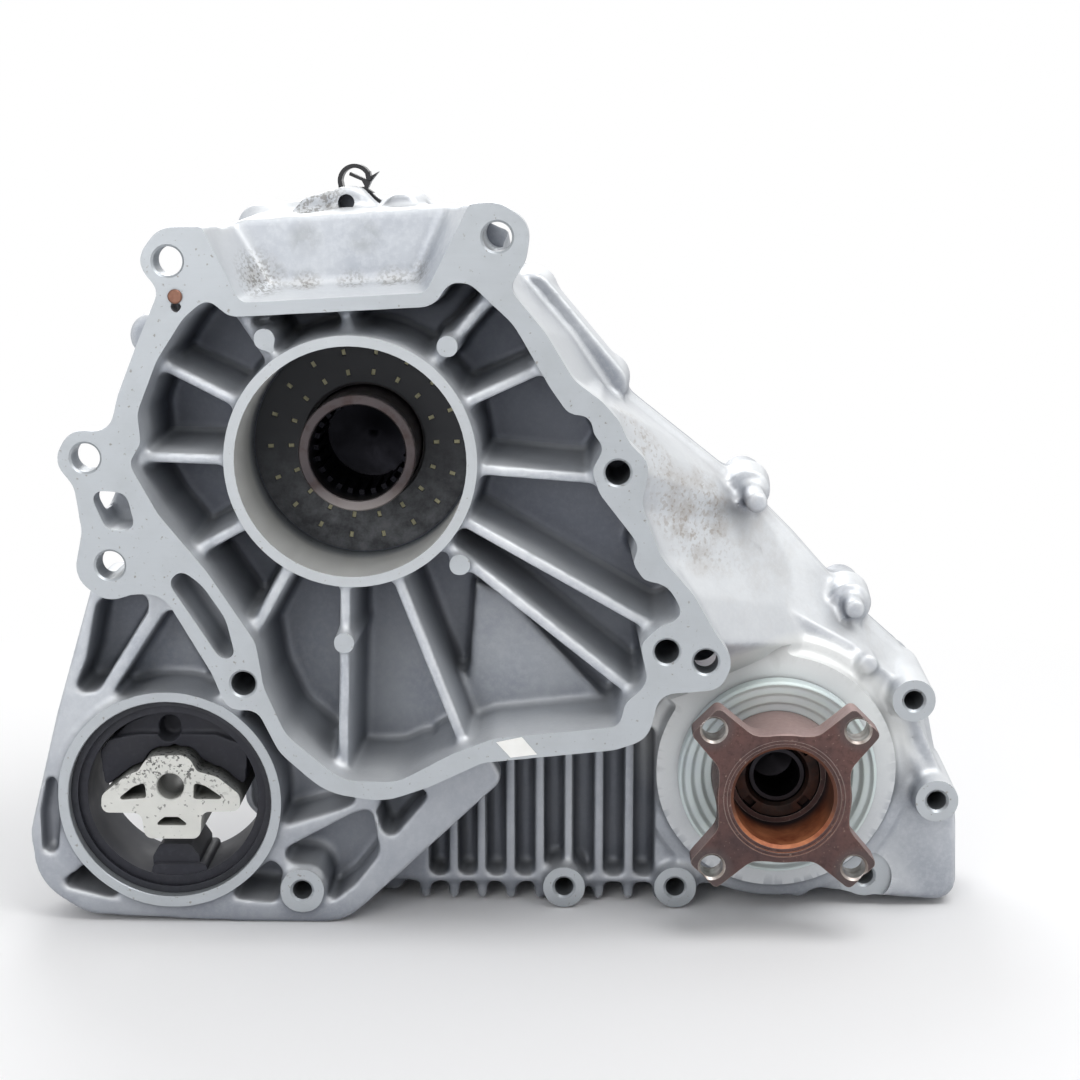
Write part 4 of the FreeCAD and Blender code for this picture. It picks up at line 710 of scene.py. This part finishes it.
MACHINED = machined_aluminium()
RUST_FACE_AND_LIGHT, RUST_BORE_AND_SHADE, BRIGHT_HOLE = flange_materials()
SLOTS = {
    "cast_front": cast_aluminium("cast_front", linear(212, 216, 221), linear(182, 187, 195), True),
    "cast_rear": cast_aluminium("cast_rear", linear(196, 199, 203), linear(164, 168, 175), False),
    "zinc_bolt": steel("zinc_bolt", linear(186, 184, 174), linear(150, 148, 138), 0.38,
                       linear(120, 96, 60), 0.3),
    "copper_pin": copper_brown(),
    "black_plate": dusty_plate(),
    "seal_rubber": rubber("seal_rubber", linear(44, 42, 44), linear(24, 23, 25)),
    "black_sleeve": steel("black_sleeve", linear(44, 46, 56), linear(26, 28, 36), 0.5,
                          linear(70, 71, 78), 0.2, metal=0.1),
    "mount_rubber": rubber("mount_rubber", linear(44, 45, 55), linear(26, 27, 35)),
    "core_aluminium": speckled_core(),
    "black_plastic": plastic("black_plastic", linear(22, 22, 26), 0.28),
    "shaft_steel": input_steel(),
    "bearing_steel": steel("bearing_steel", linear(196, 196, 198), linear(160, 160, 164), 0.22),
    "drum_steel": steel("drum_steel", linear(136, 134, 134), linear(104, 102, 104), 0.35),
    "friction_lining": steel("friction_lining", linear(104, 78, 58), linear(74, 54, 42), 0.75,
                             metal=0.0),
    "rear_flange_steel": steel("rear_flange_steel", linear(128, 118, 112), linear(92, 82, 78), 0.42,
                               linear(112, 66, 46), 0.6),
    "rusty_flange": RUST_FACE_AND_LIGHT,
    "dark_nut": steel("dark_nut", linear(70, 64, 62), linear(38, 36, 38), 0.45,
                      linear(92, 56, 40), 0.5),
    "zinc_shield": zinc_shield(),
    "chain_steel": steel("chain_steel", linear(96, 98, 106), linear(66, 68, 76), 0.3),
    "motor_can": steel("motor_can", linear(188, 189, 190), linear(160, 161, 163), 0.3,
                       linear(110, 100, 88), 0.2),
    "gear_plastic": plastic("gear_plastic", linear(216, 212, 190), 0.45),
    "brass_pin": steel("brass_pin", linear(206, 178, 104), linear(170, 140, 74), 0.3),
}
SLOT_OF = {part["node"]: part["material_slot"] for part in RECORD["subparts"]}
for node_name, node_object in NODES.items():
    node_object.data.materials.clear()
    node_object.data.materials.append(SLOTS[SLOT_OF[node_name]])
    shade(node_object.data, 28)


def dress(piece, slot, *materials):
    """Materials of a new piece, those given or else its slot's own; its faces keep their indices."""
    index = np.zeros(len(piece.data.polygons), np.int32)
    piece.data.polygons.foreach_get("material_index", index)
    piece.data.materials.clear()
    for material in materials or (SLOTS[slot],):
        piece.data.materials.append(material)
    piece.data.polygons.foreach_set("material_index", index)


# ---------------------------------------------------------------- castings


def front_casting():
    output_face = (OUT_BOSS_FRONT, -1, OUT, 60.0)
    faces = [(0.0, -1, None, 0), (JOINT, 1, None, 0), (MOUNT_FRONT, -1, MOUNT, 54.0), output_face]
    faces += [(4.0, -1, pad, 6.5) for pad in PADS]
    bores = [
        (MAIN, [(0, -4), (49.0, -4), (49.0, 24.0), (49.6, 24.0), (49.6, 57.2), (34.0, 57.2),
                (34.0, 69.8), (42.52, 69.8), (42.52, 94), (0, 94)]),
        (OUT, [(0, 40), (40.0, 40), (40.0, 60.5), (36.0, 60.5), (36.0, 63.3), (42.02, 63.3),
               (42.02, 88), (0, 88)]),
        (MOUNT, [(0, 22), (47.0, 28), (45.8, 29.4), (45.8, 86), (0, 86)]),
        ((-4.8, 106.6), [(0, 42), (3.6, 42), (3.6, 56), (0, 56)]),
        ((-71.3, 69.5), [(0, -4), (3.02, -4), (3.02, 16), (0, 16)]),
    ]
    for x, z, radius, depth in BELL_HOLES:
        bores.append(((x, z), hole_profile(radius, 0.9, 0.0, depth + 2)))
    for x, z, front, opens in CASE_BOLTS:
        if opens:
            faces.append((front, -1, (x, z), 12.5))
            bores.append(((x, z), hole_profile(BOLT_HOLE, 1.1, front, JOINT + 3)))
        else:
            bores.append(((x, z), [(0, 85.4), (BOLT_HOLE, 85.4), (BOLT_HOLE, JOINT + 3),
                                   (0, JOINT + 3)]))
    nodes = ("front_housing", "bell_ribs", "mount_bracket")

    def whole_walls(bm):
        """Closes the breaks in a bolt boss, in the bell's lower wall and in the bracket's edge."""
        lathe(bm, (90.0, -207.4), [(0, 49.6), (9.8, 49.6), (9.9, 98), (0, 98)])
        prism(bm, [(25.0, -136.8), (36.0, -129.8), (37.5, -134.5), (26.0, -141.5)], 42, 60)
        prism(bm, [(-145.6, -149.0), (-143.4, -149.0), (-146.2, -163.0), (-149.2, -163.0)], 32, 42)

    piece = casting("front_casting", nodes, "housing", 1.15, 1.3, 4, 185000, faces, bores,
                    extra=whole_walls)
    mark_machined(piece.data, [output_face], [], 0, keep=True)
    dress(piece, "cast_front", SLOTS["cast_front"], MACHINED)
    return piece


def rear_casting():
    faces = [(JOINT, -1, None, 0), (198.0, 1, MAIN, 47.5),
             (DOME_BACK, 1, PINION, 30), (DOME_BACK, 1, MOTOR, 33)]
    bores = [
        (MAIN, [(0, 150), (30.0, 150), (30.0, 172.8), (36.02, 172.8), (36.02, 189.5),
                (34.0, 189.5), (34.0, 202), (0, 202)]),
        (OUT, [(0, 104), (31.02, 104), (31.02, 128.5), (0, 128.5)]),
        (PINION, [(0, 150), (5.6, 150), (5.6, 176), (0, 176)]),
    ]
    for centre in ((96.0, -150.0), (34.0, -190.0)):
        bores.append((centre, [(0, 100), (PLUG_HOLE, 100), (PLUG_HOLE, 134), (0, 134)]))
    for x, z in ACTUATOR_BOLTS:
        bores.append(((x, z), [(0, 154), (3.1, 154), (3.1, 176), (0, 176)]))
    for x, z, _, _ in CASE_BOLTS:
        faces.append((REAR_FLAT, 1, (x, z), 9.9))
        bores.append(((x, z), [(0, 97), (BOLT_HOLE, 97), (BOLT_HOLE, 127), (0, 127)]))
    piece = casting("rear_casting", ("rear_housing",), "housing", 1.6, 2.0, 5, 120000, faces, bores)
    dress(piece, "cast_rear", SLOTS["cast_rear"], MACHINED)
    return piece


def actuator_casting():
    faces = [(DOME_BACK + 0.02, -1, None, 0)]
    bores = [(MOTOR, [(0, 180), (12.2, 180), (12.2, 200), (0, 200)])]
    for x, z in ACTUATOR_BOLTS:
        bores.append(((x, z), [(0, 160), (3.2, 160), (3.2, 186), (0, 186)]))
    piece = casting("actuator_casting", ("actuator_housing",), "housing", 0.9, 0.0, 4, 60000,
                    faces, bores, stock=0.9)
    dress(piece, "cast_rear", SLOTS["cast_rear"], MACHINED)
    return piece


def flange_forging():
    """Front output flange with its face, rim groove and holes machined."""
    faces = [(10.0, -1, None, 0)]
    bores = [(OUT, [(0, 4), (26.6, 4), (26.6, 10.5), (25.0, 10.5), (25.0, 11.6), (23.4, 11.6),
                    (22.0, 13.0), (22.0, 43.0), (19.6, 43.0), (19.6, 53.0), (13.04, 53.0),
                    (13.04, 66), (0, 66)])]
    for k in range(4):
        bores.append((polar(OUT, 44.3, 45 + 90 * k), hole_profile(5.1, 1.0, 10.0, 28)))
    piece = casting("flange_forging", ("front_flange",), "front_output", 0.7, 0.8, 3, 80000,
                    faces, bores, stock=0.8)
    mark_machined(piece.data, [], bores[:1])
    mark_machined(piece.data, [], bores[1:], 2, keep=True)
    dress(piece, "rusty_flange", RUST_FACE_AND_LIGHT, RUST_BORE_AND_SHADE, BRIGHT_HOLE)
    return piece


def core_casting():
    """The mount's extruded core with its corners eased."""
    faces = [(30.0, -1, None, 0)]
    bores = [((-87.3, -152.4), hole_profile(6.1, 0.5, 30.0, 76))]
    piece = casting("core_extrusion", ("mount_core",), "mount_core", 0.55, 0.0, 3, 50000,
                    faces, bores, stock=0.6)
    dress(piece, "core_aluminium")
    return piece


# ---------------------------------------------------------------- small pieces


def mount_legs():
    """Rubber legs between the fixed sleeve and the moving core, with their round pocket closed."""
    bm = bmesh.new()
    bm.from_mesh(NODES["mount_rubber"].data)
    slab(bm, -96.5, -83.0, 56.0, 65.0, -136.5, -122.5)
    mesh = bpy.data.meshes.new("legs")
    bm.to_mesh(mesh)
    bm.free()
    piece = new_object("mount_legs", mesh)
    add_modifier(piece, "REMESH", mode="VOXEL", voxel_size=0.7 * MM)
    add_modifier(piece, "SMOOTH", factor=0.5, iterations=4)
    bake_modifiers(piece)
    shade(piece.data, 40)
    dress(piece, "mount_rubber")
    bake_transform(piece)
    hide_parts("mount_rubber")


def baffle_blocks():
    """Small pale blocks that stand in the baffle's two rings of slots."""
    def build(bm):
        for radius in (32.5, 41.7):
            for i in range(18):
                before = len(bm.verts)
                slab(bm, radius - 1.2, radius + 1.2, 55.6, 56.6, -0.8, 0.8)
                bm.verts.ensure_lookup_table()
                turn = Matrix.Rotation(math.radians(78.5 + 20 * i), 4, "Y")
                bmesh.ops.transform(bm, matrix=turn, verts=bm.verts[before:])
    piece = new_object("baffle_blocks", mesh_from(build))
    dress(piece, "black_plate", pale_detail("pale_block", linear(120, 117, 92), linear(176, 171, 138)))
    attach(piece, "housing")


def bare_label():
    """Blank white sticker on the bell's lower lip."""
    def build(bm):
        prism(bm, [(60.9, -121.6), (72.0, -119.2), (78.6, -127.0), (67.1, -128.5)], -0.18, -0.04)
    piece = new_object("bare_label", mesh_from(build))
    dress(piece, "cast_front", pale_detail("label_paper", linear(236, 236, 232), linear(250, 250, 248)))
    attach(piece, "housing")


# ---------------------------------------------------------------- camera, light and floor


def camera():
    data = bpy.data.cameras.new("camera")
    data.lens = 66.67
    data.sensor_width = 36.0
    made = bpy.data.objects.new("camera", data)
    SCENE.collection.objects.link(made)
    made.location = (0.09526, -0.82872, 0.13103)
    made.rotation_euler = Vector((-0.018284, 0.98088, -0.19376)).to_track_quat("-Z", "Y").to_euler()
    data.clip_start = 0.01
    SCENE.camera = made


def area_light(name, place, aim, size, power):
    data = bpy.data.lights.new(name, "AREA")
    data.shape = "DISK"
    data.size = size
    data.energy = power
    made = bpy.data.objects.new(name, data)
    SCENE.collection.objects.link(made)
    made.location = place
    made.rotation_euler = (Vector(aim) - Vector(place)).to_track_quat("-Z", "Y").to_euler()


def world():
    made = bpy.data.worlds.new("studio")
    SCENE.world = made
    made.use_nodes = True
    tree = made.node_tree
    tree.nodes.clear()
    out = tree.nodes.new("ShaderNodeOutputWorld")
    seen = tree.nodes.new("ShaderNodeBackground")
    seen.inputs[0].default_value = (1, 1, 1, 1)
    seen.inputs[1].default_value = 1.0
    studio = tree.nodes.new("ShaderNodeBackground")
    studio.inputs[1].default_value = 0.55
    where = tree.nodes.new("ShaderNodeTexCoord")
    split = tree.nodes.new("ShaderNodeSeparateXYZ")
    tree.links.new(where.outputs["Generated"], split.inputs[0])
    fade = tree.nodes.new("ShaderNodeMapRange")
    tree.links.new(split.outputs["Z"], fade.inputs[0])
    for index, value in ((1, -0.4), (2, 0.9), (3, 0.35), (4, 1.15)):
        fade.inputs[index].default_value = value
    tree.links.new(fade.outputs[0], studio.inputs[0])
    path = tree.nodes.new("ShaderNodeLightPath")
    shown = path.outputs["Is Camera Ray"]
    for name in ("Is Glossy Ray", "Is Transmission Ray"):
        either = tree.nodes.new("ShaderNodeMath")
        either.operation = "MAXIMUM"
        tree.links.new(shown, either.inputs[0])
        tree.links.new(path.outputs[name], either.inputs[1])
        shown = either.outputs[0]
    mix = tree.nodes.new("ShaderNodeMixShader")
    tree.links.new(shown, mix.inputs[0])
    tree.links.new(studio.outputs[0], mix.inputs[1])
    tree.links.new(seen.outputs[0], mix.inputs[2])
    tree.links.new(mix.outputs[0], out.inputs[0])


def floor():
    """Pale floor that fades to white away from the object."""
    bm = bmesh.new()
    size = 6.0
    corners = []
    for x, y in ((-1, -1), (1, -1), (1, 1), (-1, 1)):
        corners.append(bm.verts.new((x * size, y * size, FLOOR * MM - 0.0002)))
    bm.faces.new(corners)
    mesh = bpy.data.meshes.new("floor")
    bm.to_mesh(mesh)
    bm.free()
    made = new_object("floor", mesh)
    s = Shader("floor")
    s.finish(linear(246, 246, 247), 0.9, 0.0)
    glow = s.tree.nodes.new("ShaderNodeEmission")
    glow.inputs[0].default_value = (1, 1, 1, 1)
    away = s.vector("DISTANCE", s.place, (0.08, 0.08, FLOOR * MM))
    far = s.step(away.outputs["Value"], 0.30, 0.62)
    path = s.tree.nodes.new("ShaderNodeLightPath")
    seen = s.math("MULTIPLY", far, path.outputs["Is Camera Ray"])
    mixed = s.tree.nodes.new("ShaderNodeMixShader")
    s.tree.links.new(seen, mixed.inputs[0])
    s.tree.links.new(s.bsdf.outputs[0], mixed.inputs[1])
    s.tree.links.new(glow.outputs[0], mixed.inputs[2])
    s.tree.links.new(mixed.outputs[0], s.out.inputs[0])
    made.data.materials.append(s.material)


camera()
area_light("key", (0.55, -0.35, 1.05), (0.08, 0.05, -0.03), 0.9, 7.8)
area_light("front", (-0.55, -1.25, 0.45), (0.08, 0.05, -0.06), 0.9, 5.0)
area_light("back", (-0.2, 1.15, 0.75), (0.08, 0.1, -0.03), 0.9, 7.0)
world()
floor()

front_casting()
rear_casting()
actuator_casting()
flange_forging()
core_casting()
mount_legs()
baffle_blocks()
bare_label()

SCENE.view_settings.view_transform = "Standard"
